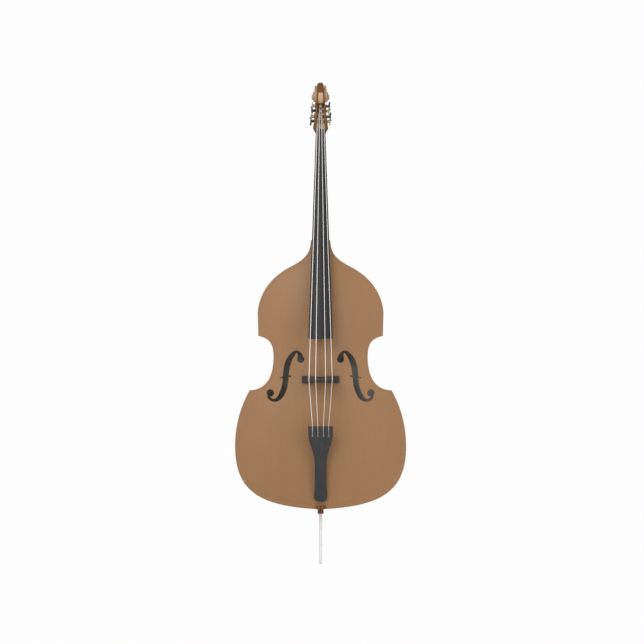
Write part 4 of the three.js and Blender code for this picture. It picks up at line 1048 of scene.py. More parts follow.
def neck_colours(obj):
    """Paints the neck's regions: brown cheeks, a tan pegbox inside, paler near the nut, and painted shade: a
    near-black foot where the pegbox flares out beside the nut.
    """
    for face in obj.data.polygons:
        x, y, z = (c / METRES for c in face.center)
        inside = NUT_Z < z < PEGBOX_HOLLOW_TOP_Z and abs(x) < interpolate(PEGBOX_INSIDE, z) + 0.4
        if inside and y < pegbox_back_y(z) - PEGBOX_FLOOR + 1:
            face.material_index = PALE_INSIDE if z < PALE_FLOOR_TOP_Z else TAN_INSIDE
        # Painted shade: the pegbox's flaring foot beside the nut, outside the board's width, gets the near-black
        # colour.
        elif PEGBOX_Z - 1 < z < SHADED_FOOT_TOP_Z and abs(x) > BOARD_HALF_AT_NUT + 0.5:
            face.material_index = SHADED_FOOT
        else:
            face.material_index = BROWN_OUTSIDE


def add_neck():
    stations = [NECK_END_Z + GAP, 1350, 1356, HEEL_FOOT_Z, 1363, 1365, 1368, 1372, 1377, 1383]
    stations += list(np.linspace(1390, HEEL_START_Z, 12)) + list(np.linspace(1500, 1795, 16))
    materials = [NECK_BROWN, NECK_TAN, NECK_PALE, NECK_SHADED_FOOT]
    neck = build("neck_carved", loft([neck_ring(z) for z in stations]), materials,
                 nodes="neck")
    cut(neck, [pegbox_block(), solid_box(*TENON)], "UNION")
    cuts = [pegbox_hollow(), board_seat()]
    for machine in MACHINES:
        low_z, high_z = machine["ends"]
        side, seat, y = machine["side"], machine["seat"], machine["y"]
        low_x, high_x = sorted((side * seat, side * (seat + 40)))
        reach_y = PLATE_HALF_Y + GAP
        cuts.append(solid_box((low_x, y - reach_y, low_z - GAP), (high_x, y + reach_y, high_z + GAP)))
        start = -(interpolate(PEGBOX_INSIDE, machine["z"]) + 5) - GAP
        cuts.append(turned_on(machine, [(ROLLER_RADIUS + GAP, start), (ROLLER_RADIUS + GAP, seat + 1)]))
    cut(neck, cuts)
    neck_colours(neck)


# The scroll: a ribbon wound about X that narrows and steps outwards with each turn. Angles are in
# half turns from the back (+Y), rising over the top (0.5) to the front (1) and down (1.5).
SCROLL_Y, SCROLL_Z = -14, 1947.5
SCROLL_FROM = -0.55 / math.pi
SCROLL_ROWS = 56  # rows in one turn
STRIP_FROM, STRIP_HALF = 0.93, 10.7  # the tan strip down the front
FLUTE_DEPTH, CROWN_DROP, CHANNEL_DEPTH = 1.6, 11, 4
EAR_ROWS = 3 * SCROLL_ROWS + 5  # the ears wind three turns and a little more
EYE_TURN = 6
EYE_RINGS = ((8.9, 0.2), (7.5, 0.32), (4, 0.36))  # each ring's radius and how far it stands out
EAR_STEPS = (0, 0.05, 0.14, 0.3, 0.5, 0.7, 0.86, 0.95, 1)  # places across an ear, from rim to root
EAR_SINKS = (1.3, 0.5, 0.2, 1.6, 2.6, 2.2, 1, 0.6, 0.5)  # how deep the ear is hollowed at each place
SCROLL_RADII = [
    (1.5, 39), (2.0, 39), (2.5, 40.5), (3.0, 33), (3.5, 24),
    (4.0, 21), (4.5, 21), (5.0, 15.5), (5.5, 11), (6, 9.5),
]
SCROLL_DROPS = [(1.5, 0), (2.5, 1), (3, 3), (3.5, 5), (4, 7), (4.5, 8), (6, 9.5)]
SCROLL_HALVES = [(1.5, 20.2), (2.5, 24.6), (3.5, 30), (4.5, 31.5), (5.5, 35.5), (6, 36.8)]


def scroll_radius(turn):
    if turn < 1.5:
        return 55 - 16 * (max(0, turn) / 1.5) ** 1.3
    return eased(SCROLL_RADII, turn, 0.2) if turn > 1.7 else interpolate(SCROLL_RADII, turn)


def scroll_half(turn):
    if turn < 1.5:
        z = SCROLL_Z + scroll_radius(turn) * math.sin(math.pi * turn)
        return lerp(19.4, 15.4, clamp((z - 1926) / 58, -0.2, 1))
    return interpolate(SCROLL_HALVES, turn)


def scroll_periphery_drop(across, half, turn):
    """How far the ribbon's outer face lies inside its radius: a crown with two shallow channels over
    the back and top, and one deep channel down the front."""
    front = smooth_step((turn - 0.8) / 0.14)
    double = FLUTE_DEPTH * math.sin(math.pi * abs(across)) ** 2 * smooth_step((0.5 - turn) / 0.2)
    double += CROWN_DROP * (1 - math.sqrt(1 - min(0.97, abs(across)) ** 3.4))
    double *= smooth_step((turn + 0.1) / 0.3)
    single = CHANNEL_DEPTH * smooth_step((11.6 - abs(across) * half) / 2.4)
    return lerp(double, single, front)


def scroll_shape():
    points, faces, materials = [], [], []
    columns = list(np.linspace(-1, 1, 25))

    def turn_at(row):
        return SCROLL_FROM + 2 * row / SCROLL_ROWS

    def put(x, radius, row):
        angle = math.pi * turn_at(row)
        centre_z = SCROLL_Z - interpolate(SCROLL_DROPS, turn_at(row))
        points.append((x, SCROLL_Y + radius * math.cos(angle), centre_z + radius * math.sin(angle)))
        return len(points) - 1

    def face(corners, material):
        faces.append(tuple(corners))
        materials.append(material)

    periphery = []
    for row in range(SCROLL_ROWS):
        turn = turn_at(row)
        half, radius = scroll_half(turn) - EAR_SINKS[0], scroll_radius(turn)
        periphery.append([put(c * half, radius - scroll_periphery_drop(c, half, turn), row) for c in columns])
    ears = {}
    for side in SIDES:
        for row in range(EAR_ROWS + 1):
            turn = turn_at(row)
            half, radius = scroll_half(turn), scroll_radius(turn)
            if row < SCROLL_ROWS:
                radius -= scroll_periphery_drop(1, half, turn)
            inner_radius = scroll_radius(turn + 2)
            drop = interpolate(SCROLL_DROPS, turn + 2) - interpolate(SCROLL_DROPS, turn)
            if row < SCROLL_ROWS:
                line = [periphery[row][0 if side < 0 else -1]]
            else:
                line = [put(side * (half - EAR_SINKS[0]), radius, row)]
            for step, sink in zip(EAR_STEPS[1:-1], EAR_SINKS[1:-1]):
                at = put(side * (half - sink), lerp(radius, inner_radius, step), row)
                x, y, z = points[at]
                points[at] = (x, y, z - drop * step)
                line.append(at)
            line.append(put(side * (half - EAR_SINKS[-1]), inner_radius, row + SCROLL_ROWS))
            ears[side, row] = line
    seat_half, seat_radius = scroll_half(turn_at(0)) - EAR_SINKS[-1], scroll_radius(turn_at(SCROLL_ROWS))
    seat = [put(c * seat_half, seat_radius, SCROLL_ROWS) for c in columns[1:-1]]
    periphery.append([ears[-1, 0][-1], *seat, ears[1, 0][-1]])

    for row in range(SCROLL_ROWS):
        turn = turn_at(row + 0.5)
        half = scroll_half(turn)
        for k in range(len(columns) - 1):
            middle = abs(columns[k] + columns[k + 1]) / 2 * half
            tan = turn > STRIP_FROM and middle < STRIP_HALF
            a, b = periphery[row], periphery[row + 1]
            face((a[k], a[k + 1], b[k + 1], b[k]), 1 if tan else 0)
    cap = list(periphery[0]) + ears[1, 0][1:-1] + list(reversed(periphery[-1])) + ears[-1, 0][1:-1][::-1]
    face(cap, 0)
    for side in SIDES:
        for row in range(EAR_ROWS):
            a, b = ears[side, row], ears[side, row + 1]
            for k in range(len(a) - 1):
                face((a[k], a[k + 1], b[k + 1], b[k]), 2)
        last, first = ears[side, SCROLL_ROWS - 1][0], ears[side, SCROLL_ROWS][0]
        face((last, first, ears[side, 0][-1]), 2)
        eye_rows = range(EAR_ROWS + 1, EAR_ROWS + 1 + SCROLL_ROWS)
        eye = [put(side * scroll_half(EYE_TURN), scroll_radius(EYE_TURN), row) for row in eye_rows]
        top = {row: ears[side, row][0] for row in range(SCROLL_ROWS, EAR_ROWS + 1)}
        top.update(zip(eye_rows, eye))
        for row in range(SCROLL_ROWS, EAR_ROWS + SCROLL_ROWS):
            below, next_below = ears[side, row - SCROLL_ROWS][-1], ears[side, row + 1 - SCROLL_ROWS][-1]
            face((below, next_below, top[row + 1], top[row]), 2)
        end = ears[side, EAR_ROWS]
        face((*end, eye[0]), 2)
        face((end[-1], eye[-1], eye[0]), 2)
        ring = eye
        for radius, rise in EYE_RINGS:
            inner = [put(side * (scroll_half(EYE_TURN) + rise), radius, row) for row in eye_rows]
            for k in range(SCROLL_ROWS):
                n = (k + 1) % SCROLL_ROWS
                face((ring[k], ring[n], inner[n], inner[k]), 2)
            ring = inner
        face(ring, 2)
    return {"points": points, "faces": faces, "materials": materials}


def add_scroll():
    build("scroll_carved", scroll_shape(), [NECK_BROWN, NECK_TAN, SCROLL_EAR], crease=32)


# ---- Nut, strings and their ends ----

STRING_NAMES = ("e", "a", "d", "g")
STRING_RADII = (1.7, 1.5, 1.4, 1.3)
STRING_SIGNS = (-1, -1, 1, 1)
WINDING_TURNS, WINDING_STEPS = 3, 24
NUT_X, BRIDGE_X, TAIL_X = (14.5, 5, 5, 14.5), (48.4, 20.8, 20.8, 48.4), (33.6, 11.6, 11.6, 33.6)
BRIDGE_Z, BRIDGE_TOP, BRIDGE_TOP_RADIUS, BRIDGE_HALF = 766, 281.2, 100, 77.5
BRIDGE_FOOT_THICKNESS, BRIDGE_TOP_THICKNESS = 30, 6
SADDLE_TOP_Y, SADDLE_HALF, SADDLE_LENGTH, SADDLE_CROWN, SADDLE_END_RADIUS = -113, 22, 11, 7, 3
TAIL_BOTTOM_Z, TAIL_TOP_Z, TAIL_SLOT_END_Z, TAIL_THICKNESS = 261.5, 572.7, 532, 12
TAIL_HALF = [
    (TAIL_BOTTOM_Z, 15), (265, 22), (275, 27), (300, 25.5), (350, 24), (415, 23.8), (445, 27), (471, 33.5),
    (492, 41), (512, 48), (530, 50.6), (TAIL_TOP_Z, 51.9),
]


def nut_top_y(x):
    return BOARD_Y_AT_NUT - 2 + BOARD_CAMBER_AT_NUT * (x / BOARD_HALF_AT_NUT) ** 2


def nut_string_y(i):
    return nut_top_y(NUT_X[i]) - STRING_RADII[i] * 0.3


def bridge_top(x):
    return BRIDGE_TOP - x ** 2 / (2 * BRIDGE_TOP_RADIUS)


def tail_line_y(z):
    return SADDLE_TOP_Y - 1 - (z - BOTTOM_Z) * (BRIDGE_TOP - 114) / (BRIDGE_Z - BOTTOM_Z)


def tail_half(z):
    return eased(TAIL_HALF, z, 5) if TAIL_BOTTOM_Z + 14 < z < TAIL_TOP_Z - 6 else interpolate(TAIL_HALF, z)


def tail_front_y(x, z):
    camber = lerp(5, 10, (z - TAIL_BOTTOM_Z) / (TAIL_TOP_Z - TAIL_BOTTOM_Z))
    return tail_line_y(z) + camber * min(1, abs(x) / interpolate(TAIL_HALF, z)) ** 2


def string_path(i):
    sign, radius = STRING_SIGNS[i], STRING_RADII[i]
    machine = MACHINES[ROLLER_STRING.index(i)]
    bridge_y = -(bridge_top(BRIDGE_X[i]) + radius + GAP)
    tail_x = sign * TAIL_X[i]
    roller_x = roller_string_x(i)
    return [
        (tail_x, tail_front_y(TAIL_X[i], TAIL_SLOT_END_Z) + 7, TAIL_SLOT_END_Z - 2),
        (tail_x, tail_front_y(TAIL_X[i], TAIL_TOP_Z) + 3, TAIL_TOP_Z + 1),
        (sign * BRIDGE_X[i], bridge_y, BRIDGE_Z - BRIDGE_TOP_THICKNESS / 2),
        (sign * BRIDGE_X[i], bridge_y, BRIDGE_Z + BRIDGE_TOP_THICKNESS / 2),
        (sign * NUT_X[i], nut_string_y(i), NUT_Z),
        (sign * NUT_X[i], nut_string_y(i), NUT_Z + NUT_LENGTH),
        (roller_x, machine["y"] - ROLLER_RADIUS - radius - GAP - 0.4, machine["z"]),
    ]


def roller_string_x(i):
    machine = MACHINES[ROLLER_STRING.index(i)]
    return STRING_SIGNS[i] * min(NUT_X[i], interpolate(PEGBOX_INSIDE, machine["z"]) - 6)


def softened(path, reach):
    """A path with each inner corner turned into a small bend."""
    line = [path[0]]
    for before, corner, after in zip(path, path[1:], path[2:]):
        corner = Vector(corner)
        back, ahead = Vector(before) - corner, Vector(after) - corner
        distance = min(reach, back.length / 2.5, ahead.length / 2.5)
        start, end = corner + back.normalized() * distance, corner + ahead.normalized() * distance
        line += [tuple((start.lerp(corner, t)).lerp(corner.lerp(end, t), t)) for t in (0, 0.33, 0.67, 1)]
    return [*line, path[-1]]


def add_strings():
    for i, name in enumerate(STRING_NAMES):
        radius = STRING_RADII[i]
        path = string_path(i)
        build(f"string_{name}_wound", tube(softened(path, 2.5), radius, sides=14), STRING,
              nodes=f"string_{name}")
        x, y, z = path[0]
        barrel = [(1, -2.6), (2.6, -2.2), (3.1, -1), (3.1, 1), (2.6, 2.2), (1, 2.6)]
        build(f"ball_end_{name}", lathe(barrel, (x, y + 1.2, z + 2), "Y", 24), BRASS)
        machine = MACHINES[ROLLER_STRING.index(i)]
        start_x, away = roller_string_x(i), -STRING_SIGNS[i]
        coil_radius = ROLLER_RADIUS + radius + 0.15
        coil = []
        for k in range(WINDING_TURNS * WINDING_STEPS + 1):
            turn = k / WINDING_STEPS
            angle = math.pi + 2 * math.pi * turn
            y = machine["y"] + coil_radius * math.cos(angle)
            z = machine["z"] - coil_radius * math.sin(angle)
            coil.append((start_x + away * (2 * radius + 0.3) * turn, y, z))
        build(f"winding_{name}", tube(coil, radius, sides=10), STRING, body=f"roller_{machine['number']}")


def add_nut():
    rings = []
    back, low, high = glue_y(NUT_Z), NUT_Z + GAP, NUT_Z + NUT_LENGTH
    for x in np.linspace(GAP - BOARD_HALF_AT_NUT, BOARD_HALF_AT_NUT - GAP, 33):
        top = nut_top_y(x)
        rings.append([
            (x, back, low), (x, back, high), (x, top + 3, high), (x, top + 1, high - 0.7),
            (x, top, high - 2.2), (x, top, low + 1.4), (x, top + 0.6, low + 0.4), (x, top + 1.4, low),
        ])
    nut = build("nut_shaped", loft(rings), EBONY, nodes="nut")
    grooves = []
    for i, radius in enumerate(STRING_RADII):
        centre = (STRING_SIGNS[i] * NUT_X[i], nut_string_y(i), 0)
        bore = [(radius + GAP, NUT_Z - 5), (radius + GAP, NUT_Z + NUT_LENGTH + 5)]
        grooves.append(lathe(bore, centre, sides=20))
    cut(nut, grooves)


# ---- Bridge ----

def foot_height(x):
    """How far in front of the centre plane the bridge's feet stand."""
    return -belly_y(x, BRIDGE_Z) + GAP


def bridge_outline():
    """The bridge's front view as (x, height), anticlockwise."""
    corner = 54.5
    shoulder = bridge_top(corner)
    inner_foot = 37
    foot = [(x, foot_height(x)) for x in np.linspace(inner_foot, BRIDGE_HALF, 12)]
    arch = [(inner_foot, foot_height(inner_foot)), (inner_foot, 152), (14, 161), (0, 161)]
    flank = [
        [(BRIDGE_HALF, 134), (62, 140), (52, 152), (51, 170)],
        [(51, 170), (46, 180), (34, 176), (33, 186)],
        [(33, 186), (35, 197), (50, 189), (61, 197)],
        [(61, 197), (68, 208), (61, 228), (57, 242)],
        [(57, 242), (corner, shoulder)],
    ]
    top = [(x, bridge_top(x)) for x in np.linspace(corner, -corner, 40)]
    right = foot + curve_points(flank, 10)
    half_arch = curve_points([arch], 12)
    left_arch = [(-x, height) for x, height in half_arch[1:]]
    return right + top[1:-1] + mirrored(right) + left_arch + half_arch[::-1][1:-1]


def heart():
    curves = [
        [(0, 204), (10, 211), (15, 219), (14, 228)], [(14, 228), (12, 237), (3, 237), (0, 229)],
        [(0, 229), (-3, 237), (-12, 237), (-14, 228)], [(-14, 228), (-15, 219), (-10, 211), (0, 204)],
    ]
    return curve_points(curves, 10)[:-1]


def add_bridge():
    foot, top = foot_height(60), BRIDGE_TOP

    def face(sign):
        def place(x, height, edge_distance, drop):
            rise = clamp((height - foot) / (top - foot))
            thickness = lerp(BRIDGE_FOOT_THICKNESS, BRIDGE_TOP_THICKNESS, rise)
            z = BRIDGE_Z + sign * (thickness / 2 - drop)
            near = clamp(1 - (height - foot_height(x)) / 9)
            slope = -belly_y(x, z) + GAP - foot_height(x)
            return x, -height - near * slope, z
        return place

    bridge = slab(bridge_outline(), [heart()], face(1), face(-1), rounding=1.6, spacing=4.5)
    build("bridge_carved", bridge, EBONY, nodes="bridge", crease=45)


# ---- Tailpiece, saddle and tailgut ----

GUT_RADIUS, GUT_TAIL_X, COLLAR_NECK = 2.2, 11.5, 11
GUT_REACH = COLLAR_NECK + GUT_RADIUS + 0.6


def add_tailpiece():
    heights = [TAIL_BOTTOM_Z, 262.5, 265, *np.linspace(269, TAIL_TOP_Z - 1.5, 70), TAIL_TOP_Z]
    right = [(tail_half(z), z) for z in heights]
    outline = right + [(x, TAIL_TOP_Z) for x in np.linspace(46, -46, 13)] + mirrored(right)
    notches = []
    for sign, x, radius in zip(STRING_SIGNS, TAIL_X, STRING_RADII):
        middle, half = sign * x, radius + 0.5
        notches.append([(middle - half, TAIL_SLOT_END_Z), (middle + half, TAIL_SLOT_END_Z),
                        (middle + half, TAIL_TOP_Z + 5), (middle - half, TAIL_TOP_Z + 5)])
        notches.append(circle(middle, TAIL_SLOT_END_Z, 4, 24))

    def front(x, z, edge_distance, drop):
        return x, tail_front_y(x, z) + drop, z

    def back(x, z, edge_distance, drop):
        thick = max(tail_front_y(x, z) + TAIL_THICKNESS * 0.55, tail_line_y(z) + TAIL_THICKNESS)
        return x, thick - drop, z

    tailpiece = slab(outline, notches, front, back, rounding=2.4, spacing=4.5)
    piece = build("tailpiece_carved", tailpiece, EBONY, nodes="tailpiece", crease=40)
    end_y = tail_line_y(TAIL_BOTTOM_Z) + 7
    bores = []
    for side in SIDES:
        x = side * GUT_TAIL_X
        bores.append(tube([(x, end_y + 5.5, TAIL_BOTTOM_Z - 20), (x, end_y - 5.5, TAIL_BOTTOM_Z + 20)],
                          GUT_RADIUS + 0.9, 20))
    cut(piece, bores, crease=40)


def add_saddle():
    rings = []
    for x in np.linspace(-SADDLE_HALF, SADDLE_HALF, 41):
        end = rounding_drop(SADDLE_HALF - abs(x), SADDLE_END_RADIUS)
        ring = [(x, belly_y(x, BOTTOM_Z + SADDLE_LENGTH) - GAP, BOTTOM_Z + SADDLE_LENGTH)]
        for w in np.linspace(1, 0, 15):
            crown = SADDLE_TOP_Y + SADDLE_CROWN * (2 * w - 1) ** 4
            ring.append((x, crown + end, BOTTOM_Z + w * SADDLE_LENGTH))
        ring.append((x, belly_y(x, BOTTOM_Z) - GAP, BOTTOM_Z))
        rings.append(ring)
    build("saddle_shaped", loft(rings), NECK_BROWN, nodes="saddle")


def add_tailgut():
    top_y = tail_line_y(TAIL_BOTTOM_Z) + 7
    half = [
        (GUT_TAIL_X, top_y - 3.6, TAIL_BOTTOM_Z + 12), (GUT_TAIL_X, top_y, TAIL_BOTTOM_Z - 1),
        (8, SADDLE_TOP_Y - GUT_RADIUS - 0.8, 240), (6.5, SADDLE_TOP_Y - GUT_RADIUS - 0.6, 233),
        (6, SADDLE_TOP_Y + 2, 226), (6, RIB_FRONT_Y - 6, 224.5), (8, -60, 227), (GUT_REACH, -16, 228.5),
        (GUT_REACH, 2, 228.5), (GUT_REACH * 0.7, GUT_REACH * 0.75 + 2, 228.5),
    ]
    loop = [*half, (0, GUT_REACH + 2.5, 228.5), *[(-x, y, z) for x, y, z in reversed(half)]]
    cord = tube([tuple(p) for p in spline(loop, 8)], GUT_RADIUS)
    build("tailgut_cord", cord, GUT, nodes="tailgut")


# ---- Endpin and its lock ----

COLLAR_Z, COLLAR_RADIUS, ROD_RADIUS, ROD_TOP_Z, TIP_HEIGHT = 209, 13, 6, 430, 24
LOCK_Z, LOCK_RADIUS, KNOB_Y, KNOB_LENGTH = 214.5, 2.5, 15, 7
KNOB_LOBES, KNOB_LOBE_DEPTH = 8, 0.094


def add_endpin():
    seat = BOTTOM_Z + OVERHANG - GAP
    bore = ROD_RADIUS + GAP
    profile = [
        (bore, COLLAR_Z + 0.6), (bore + 0.6, COLLAR_Z), (10, COLLAR_Z), (11.4, COLLAR_Z + 0.5),
        (12.4, COLLAR_Z + 1.8), (12.9, COLLAR_Z + 3.6), (COLLAR_RADIUS, COLLAR_Z + 5.5),
        (COLLAR_RADIUS, COLLAR_Z + 11), (12.7, COLLAR_Z + 12.4), (11.8, COLLAR_Z + 13.6),
        (COLLAR_NECK, COLLAR_Z + 15), (COLLAR_NECK, seat - 3), (12.2, seat - 2.2), (PLUG_RADIUS, seat - 1),
        (PLUG_RADIUS, seat), (PLUG_RADIUS - 0.4, 277.4), (PLUG_RADIUS - 1, 278), (bore, 278),
    ]
    collar = build("endpin_collar_turned", lathe(profile, sides=64, closed=True), ROSEWOOD,
                   nodes="endpin_collar")
    cut(collar, [lathe([(LOCK_RADIUS + GAP, 3), (LOCK_RADIUS + GAP, 20)], (0, 0, LOCK_Z), "Y", 24)])
    shaft = [(ROD_RADIUS - 0.6, TIP_HEIGHT + GAP), (ROD_RADIUS, TIP_HEIGHT + GAP + 0.6)]
    shaft += [(ROD_RADIUS, z) for z in np.linspace(TIP_HEIGHT + 10, ROD_TOP_Z - 3, 12)]
    shaft += [(ROD_RADIUS - 0.3, ROD_TOP_Z - 1), (ROD_RADIUS - 1.2, ROD_TOP_Z)]
    build("endpin_rod_drawn", lathe(shaft, sides=48), ROD, "endpin", "endpin_rod")
    tip = [(1.2, 0), (2.6, 0.25), (3.6, 0.9), (4.5, 1.9), (5.2, 3.2), (5.7, 5), (ROD_RADIUS, 8)]
    tip += [(ROD_RADIUS, 19), (5.6, 19.5), (5.6, 20.3), (ROD_RADIUS, 20.8), (ROD_RADIUS, TIP_HEIGHT - 0.5),
            (ROD_RADIUS - 0.5, TIP_HEIGHT)]
    build("endpin_tip_turned", lathe(tip, sides=48), ROD, "endpin", "endpin_tip")


def add_lock():
    shoe_y, shoe_length = ROD_RADIUS + GAP, 2.6
    centre = (0, 0, LOCK_Z)
    shoe_end = shoe_y + shoe_length
    shoe = [(LOCK_RADIUS - 0.4, shoe_y), (LOCK_RADIUS, shoe_y + 0.4), (LOCK_RADIUS, shoe_end - 0.4),
            (LOCK_RADIUS - 0.4, shoe_end)]
    build("locking_shoe_turned", lathe(shoe, centre, "Y", 32), BRASS, "locking_shoe", "locking_shoe")
    start = shoe_end + GAP
    thread = [(LOCK_RADIUS - 0.5, start), (LOCK_RADIUS, start + 0.4)]
    for k in range(6):
        y = start + 0.9 + 0.8 * k
        thread += [(LOCK_RADIUS, y), (LOCK_RADIUS - 0.35, y + 0.4)]
    thread.append((LOCK_RADIUS, KNOB_Y + 0.2))
    end = KNOB_Y + KNOB_LENGTH
    knob = [(4.5, KNOB_Y), (7.2, KNOB_Y + 0.2), (8.2, KNOB_Y + 1), (8.5, KNOB_Y + 2), (8.5, end - 1.8),
            (8.1, end - 0.7), (7, end - 0.1), (4.2, end), (3.8, end - 0.6), (1.5, end - 0.6)]

    def lobes(angle, radius):
        return 1 + KNOB_LOBE_DEPTH * math.cos(KNOB_LOBES * angle) * smooth_step((radius - 6) / 2)

    screw = build("thumbscrew_turned", lathe(knob, centre, "Y", 96, wobble=lobes), BRASS,
                  "thumbscrew", "thumbscrew")
    cut(screw, [lathe(thread + [(LOCK_RADIUS, KNOB_Y + 1)], centre, "Y", 32)], "UNION")


# ---- Tuning machines ----

GEAR_TEETH, GEAR_PITCH_RADIUS, GEAR_WIDTH = 20, 15.3, 5
WORM_PITCH_RADIUS, WORM_CORE_RADIUS, WORM_TURNS = 4.5, 3, 3
ADDENDUM, DEDENDUM, TOOTH_AT_PITCH, FLANK = 1.2, 1.6, 2.05, math.tan(math.radians(20))
PITCH = 2 * math.pi * GEAR_PITCH_RADIUS / GEAR_TEETH
POST_NEAR, POST_FAR, POST_HALF_Z = 10.5, 16.5, 6
KEY_ROOT, KEY_LENGTH, KEY_SPAN, KEY_THICKNESS, KEY_SWEEP = 32, 36, 19, 7, math.radians(13)


def gear_outline(scale, turn):
    """The toothed wheel's outline, with small roundings at the tips and roots."""
    tip, root = GEAR_PITCH_RADIUS + ADDENDUM, GEAR_PITCH_RADIUS - DEDENDUM

    def half_at(radius):
        return (TOOTH_AT_PITCH / 2 - (radius - GEAR_PITCH_RADIUS) * FLANK) / radius

    profile = [
        (-half_at(root) - 0.02, root), (-half_at(root + 0.5), root + 0.5), (-half_at(tip - 0.3), tip - 0.3),
        (-half_at(tip) + 0.015, tip), (half_at(tip) - 0.015, tip), (half_at(tip - 0.3), tip - 0.3),
        (half_at(root + 0.5), root + 0.5), (half_at(root) + 0.02, root),
    ]
    outline = []
    for k in range(GEAR_TEETH):
        middle = 2 * math.pi * (k + 0.5) / GEAR_TEETH + turn
        outline += [(scale * r * math.cos(middle + a), scale * r * math.sin(middle + a)) for a, r in profile]
    return outline


def gear_shape(machine):
    twist = PITCH / (2 * math.pi * WORM_PITCH_RADIUS) / GEAR_PITCH_RADIUS
    x0 = machine["side"] * machine["reach"]
    half = GEAR_WIDTH / 2
    rings = []
    for x in (-half, -half + 0.3, -1, 0, 1, half - 0.3, half):
        scale = 0.985 if abs(x) == half else 1
        outline = gear_outline(scale, machine["up"] * math.pi / 2 + twist * x)
        rings.append([(x0 + x, machine["y"] + a, machine["z"] + b) for a, b in outline])
    return loft(rings)


def worm_thread(machine):
    """The worm's thread: a trapezoid wound about Y whose ends run out into the core."""
    rings = []
    steps = WORM_TURNS * 32
    for k in range(steps + 1):
        angle = (k / steps - 0.5) * WORM_TURNS * 2 * math.pi
        rise = smooth_step(min(k, steps - k) / 9)
        outer = lerp(WORM_CORE_RADIUS + 0.1, WORM_PITCH_RADIUS + ADDENDUM, rise)
        ring = []
        for radius, sign in ((WORM_CORE_RADIUS - 0.4, -1), (WORM_CORE_RADIUS - 0.4, 1), (outer - 0.2, 1),
                             (outer, 0.75), (outer, -0.75), (outer - 0.2, -1)):
            half = TOOTH_AT_PITCH / 2 - (radius - WORM_PITCH_RADIUS) * FLANK
            ring.append((
                machine["side"] * machine["reach"] - machine["up"] * radius * math.sin(angle),
                machine["y"] + PITCH * angle / (2 * math.pi) + sign * half,
                machine["worm_z"] - machine["up"] * radius * math.cos(angle),
            ))
        rings.append(ring)
    return loft(rings)


def key_wing(machine, half):
    """One leaf of the key, thick at its root and rounded all over."""
    edge = [
        [(KEY_ROOT - 1, 0), (KEY_ROOT - 1, 3.6)],
        [(KEY_ROOT - 1, 3.6), (KEY_ROOT + 4, 6), (KEY_ROOT + 2, KEY_SPAN), (KEY_ROOT + 16, KEY_SPAN)],
        [(KEY_ROOT + 16, KEY_SPAN), (KEY_ROOT + 30, KEY_SPAN), (KEY_ROOT + KEY_LENGTH + 1, 11),
         (KEY_ROOT + KEY_LENGTH - 4, 3)],
        [(KEY_ROOT + KEY_LENGTH - 4, 3), (KEY_ROOT + KEY_LENGTH - 5, 0)],
    ]
    outline = curve_points(edge, 14)[::-1]
    turn = machine["side"] * KEY_SWEEP if half > 0 else math.pi - machine["side"] * KEY_SWEEP

    def face(sign):
        def place(y, z, edge_distance, drop):
            x = sign * (KEY_THICKNESS / 2 - drop)
            return (
                machine["side"] * machine["reach"] + x * math.cos(turn) + z * math.sin(turn),
                machine["y"] + y,
                machine["worm_z"] - x * math.sin(turn) + z * math.cos(turn),
            )
        return place

    return slab(outline, [], face(1), face(-1), rounding=2.8, spacing=2.2)


def key_axis(machine):
    return machine["side"] * machine["reach"], machine["y"], machine["worm_z"]


def add_key(machine):
    number = machine["number"]
    shaft = [
        (2.6, -POST_FAR - 2.5), (4.1, -POST_FAR - 2.4), (4.4, -POST_FAR - 2), (4.4, -POST_FAR - 0.6),
        (4.1, -POST_FAR - GAP), (WORM_CORE_RADIUS, -POST_FAR - GAP), (WORM_CORE_RADIUS, POST_FAR + GAP),
        (4.5, POST_FAR + GAP), (4.8, POST_FAR + 0.7), (4.8, POST_FAR + 4.4), (4.4, POST_FAR + 5),
        (3.3, POST_FAR + 5.6), (WORM_CORE_RADIUS, POST_FAR + 7), (WORM_CORE_RADIUS, KEY_ROOT - 3),
        (3.6, KEY_ROOT - 1), (3.4, KEY_ROOT + 3), (1.5, KEY_ROOT + 5),
    ]
    key = build(f"tuning_key_{number}_forged", lathe(shaft, key_axis(machine), "Y", 32), BLACK,
                f"key_{number}", f"tuning_key_{number}")
    cut(key, [key_wing(machine, 1), key_wing(machine, -1), worm_thread(machine)], "UNION")


def turned_on(machine, profile, sides=32, material=0):
    """A turned piece about the roller's axis; heights are distances from the centre plane on its side."""
    flipped = [(radius, machine["side"] * x) for radius, x in profile]
    return lathe(flipped, (0, machine["y"], machine["z"]), "X", sides, material=material)


def slotted_head(centre, side, radius, height):
    """A domed screw head on a face of the cheek, with its slot, facing outwards along X."""
    x0, y0, z0 = centre
    profile = [(radius, 0), (radius, height * 0.35), (radius * 0.86, height * 0.75), (radius * 0.55, height)]
    dome = lathe([(r, side * h) for r, h in profile], centre, "X", 24)
    low_x, high_x = sorted((x0 + side * height * 0.5, x0 + side * (height + 1)))
    half_length, half_width = radius * 1.2, 0.45
    groove = rounded_box((low_x, y0 - half_length, z0 - half_width),
                         (high_x, y0 + half_length, z0 + half_width), 0.1, 1)
    return dome, groove


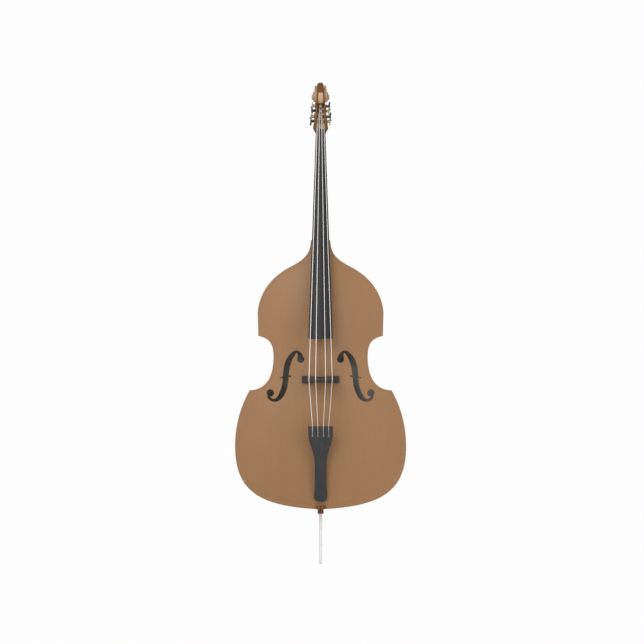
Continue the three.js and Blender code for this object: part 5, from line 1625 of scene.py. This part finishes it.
def add_machine_plate(machine):
    side, seat, reach, number = machine["side"], machine["seat"], machine["reach"], machine["number"]
    y, worm_z = machine["y"], machine["worm_z"]
    low_z, high_z = machine["ends"]
    face = seat + GAP + PLATE_THICKNESS

    def side_box(x0, x1, y0, y1, z0, z1, radius):
        a, b = sorted((side * x0, side * x1))
        return rounded_box((a, y0, z0), (b, y1, z1), radius)

    base = side_box(seat + GAP, face, y - PLATE_HALF_Y, y + PLATE_HALF_Y, low_z, high_z, 0.8)
    plate = build(f"machine_plate_{number}_cast", base, BLACK,
                  nodes=f"machine_plate_{number}")
    posts = []
    for end in SIDES:
        near, far = sorted((end * POST_NEAR, end * POST_FAR))
        low, high = worm_z - POST_HALF_Z, worm_z + POST_HALF_Z
        posts.append(side_box(face - 1, reach + 5, y + near, y + far, low, high, 1.4))
    cut(plate, posts, "UNION")
    bore_radius = WORM_CORE_RADIUS + GAP
    worm_bore = lathe([(bore_radius, -30), (bore_radius, 30)], key_axis(machine), "Y", 28)
    roller_bore = turned_on(machine, [(SPINDLE_RADIUS + GAP, seat - 2), (SPINDLE_RADIUS + GAP, face + 2)])
    cut(plate, [worm_bore, roller_bore])
    heads, slots = [], []
    for along in (-1, 1):
        centre = (side * (face - 0.05), y + along * (PLATE_HALF_Y - 2.9), machine["z"] - machine["up"] * 9.5)
        dome, groove = slotted_head(centre, side, 2.1, 1.2)
        heads.append(dome)
        slots.append(groove)
    screws = build(f"machine_screws_{number}", heads, BRASS)
    cut(screws, slots)


def add_roller(machine):
    number, seat, reach = machine["number"], machine["seat"], machine["reach"]
    start = -(interpolate(PEGBOX_INSIDE, machine["z"]) + 5)
    body = f"roller_{number}"
    barrel = [(ROLLER_RADIUS - 0.5, start), (ROLLER_RADIUS, start + 0.5), (ROLLER_RADIUS, start + 5)]
    barrel += [(ROLLER_RADIUS, x) for x in np.linspace(start + 7, seat - 4, 8)]
    barrel += [(ROLLER_RADIUS, seat - GAP - 0.5), (ROLLER_RADIUS - 0.5, seat - GAP)]
    end = reach + GEAR_WIDTH / 2 + 1
    spindle = [(SPINDLE_RADIUS, seat - 5), (SPINDLE_RADIUS, end - 0.5), (SPINDLE_RADIUS - 0.5, end)]
    roller = build(f"roller_{number}_turned", turned_on(machine, barrel, 40), [ROLLER, BRASS], body,
                   body)
    cut(roller, [turned_on(machine, spindle, 32, material=1)], "UNION")
    hub_start = seat + 2 * GAP + PLATE_THICKNESS
    hub = turned_on(machine, [(5.6, hub_start), (6, hub_start + 0.4), (6, reach)], 40)
    gear = build(f"gear_wheel_{number}_cut", gear_shape(machine), BRASS,
                 body, f"gear_wheel_{number}")
    cut(gear, [hub], "UNION", crease=28)
    rim = GEAR_WIDTH / 2
    bore = turned_on(machine, [(SPINDLE_RADIUS + GAP, seat), (SPINDLE_RADIUS + GAP, reach + 20)], 40)
    recess = turned_on(machine, [(11.2, reach + rim - 0.9), (11.8, reach + rim + 1)], 48)
    boss = turned_on(machine, [(6.2, reach), (6.2, reach + rim - 0.2), (5.8, reach + rim)], 40)
    cut(gear, [recess], crease=28)
    cut(gear, [boss], "UNION", crease=28)
    cut(gear, [bore], crease=28)


# ---- The whole instrument ----

set_camera()
set_stage()
add_plates()
add_ribs()
finish_inner_nodes()
add_fingerboard()
add_neck()
add_scroll()
add_nut()
add_strings()
add_bridge()
add_tailpiece()
add_saddle()
add_tailgut()
add_endpin()
add_lock()
for machine in MACHINES:
    add_machine_plate(machine)
    add_key(machine)
    add_roller(machine)

[[list(corner) for corner in box] for box in (CAD_BOX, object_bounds())]
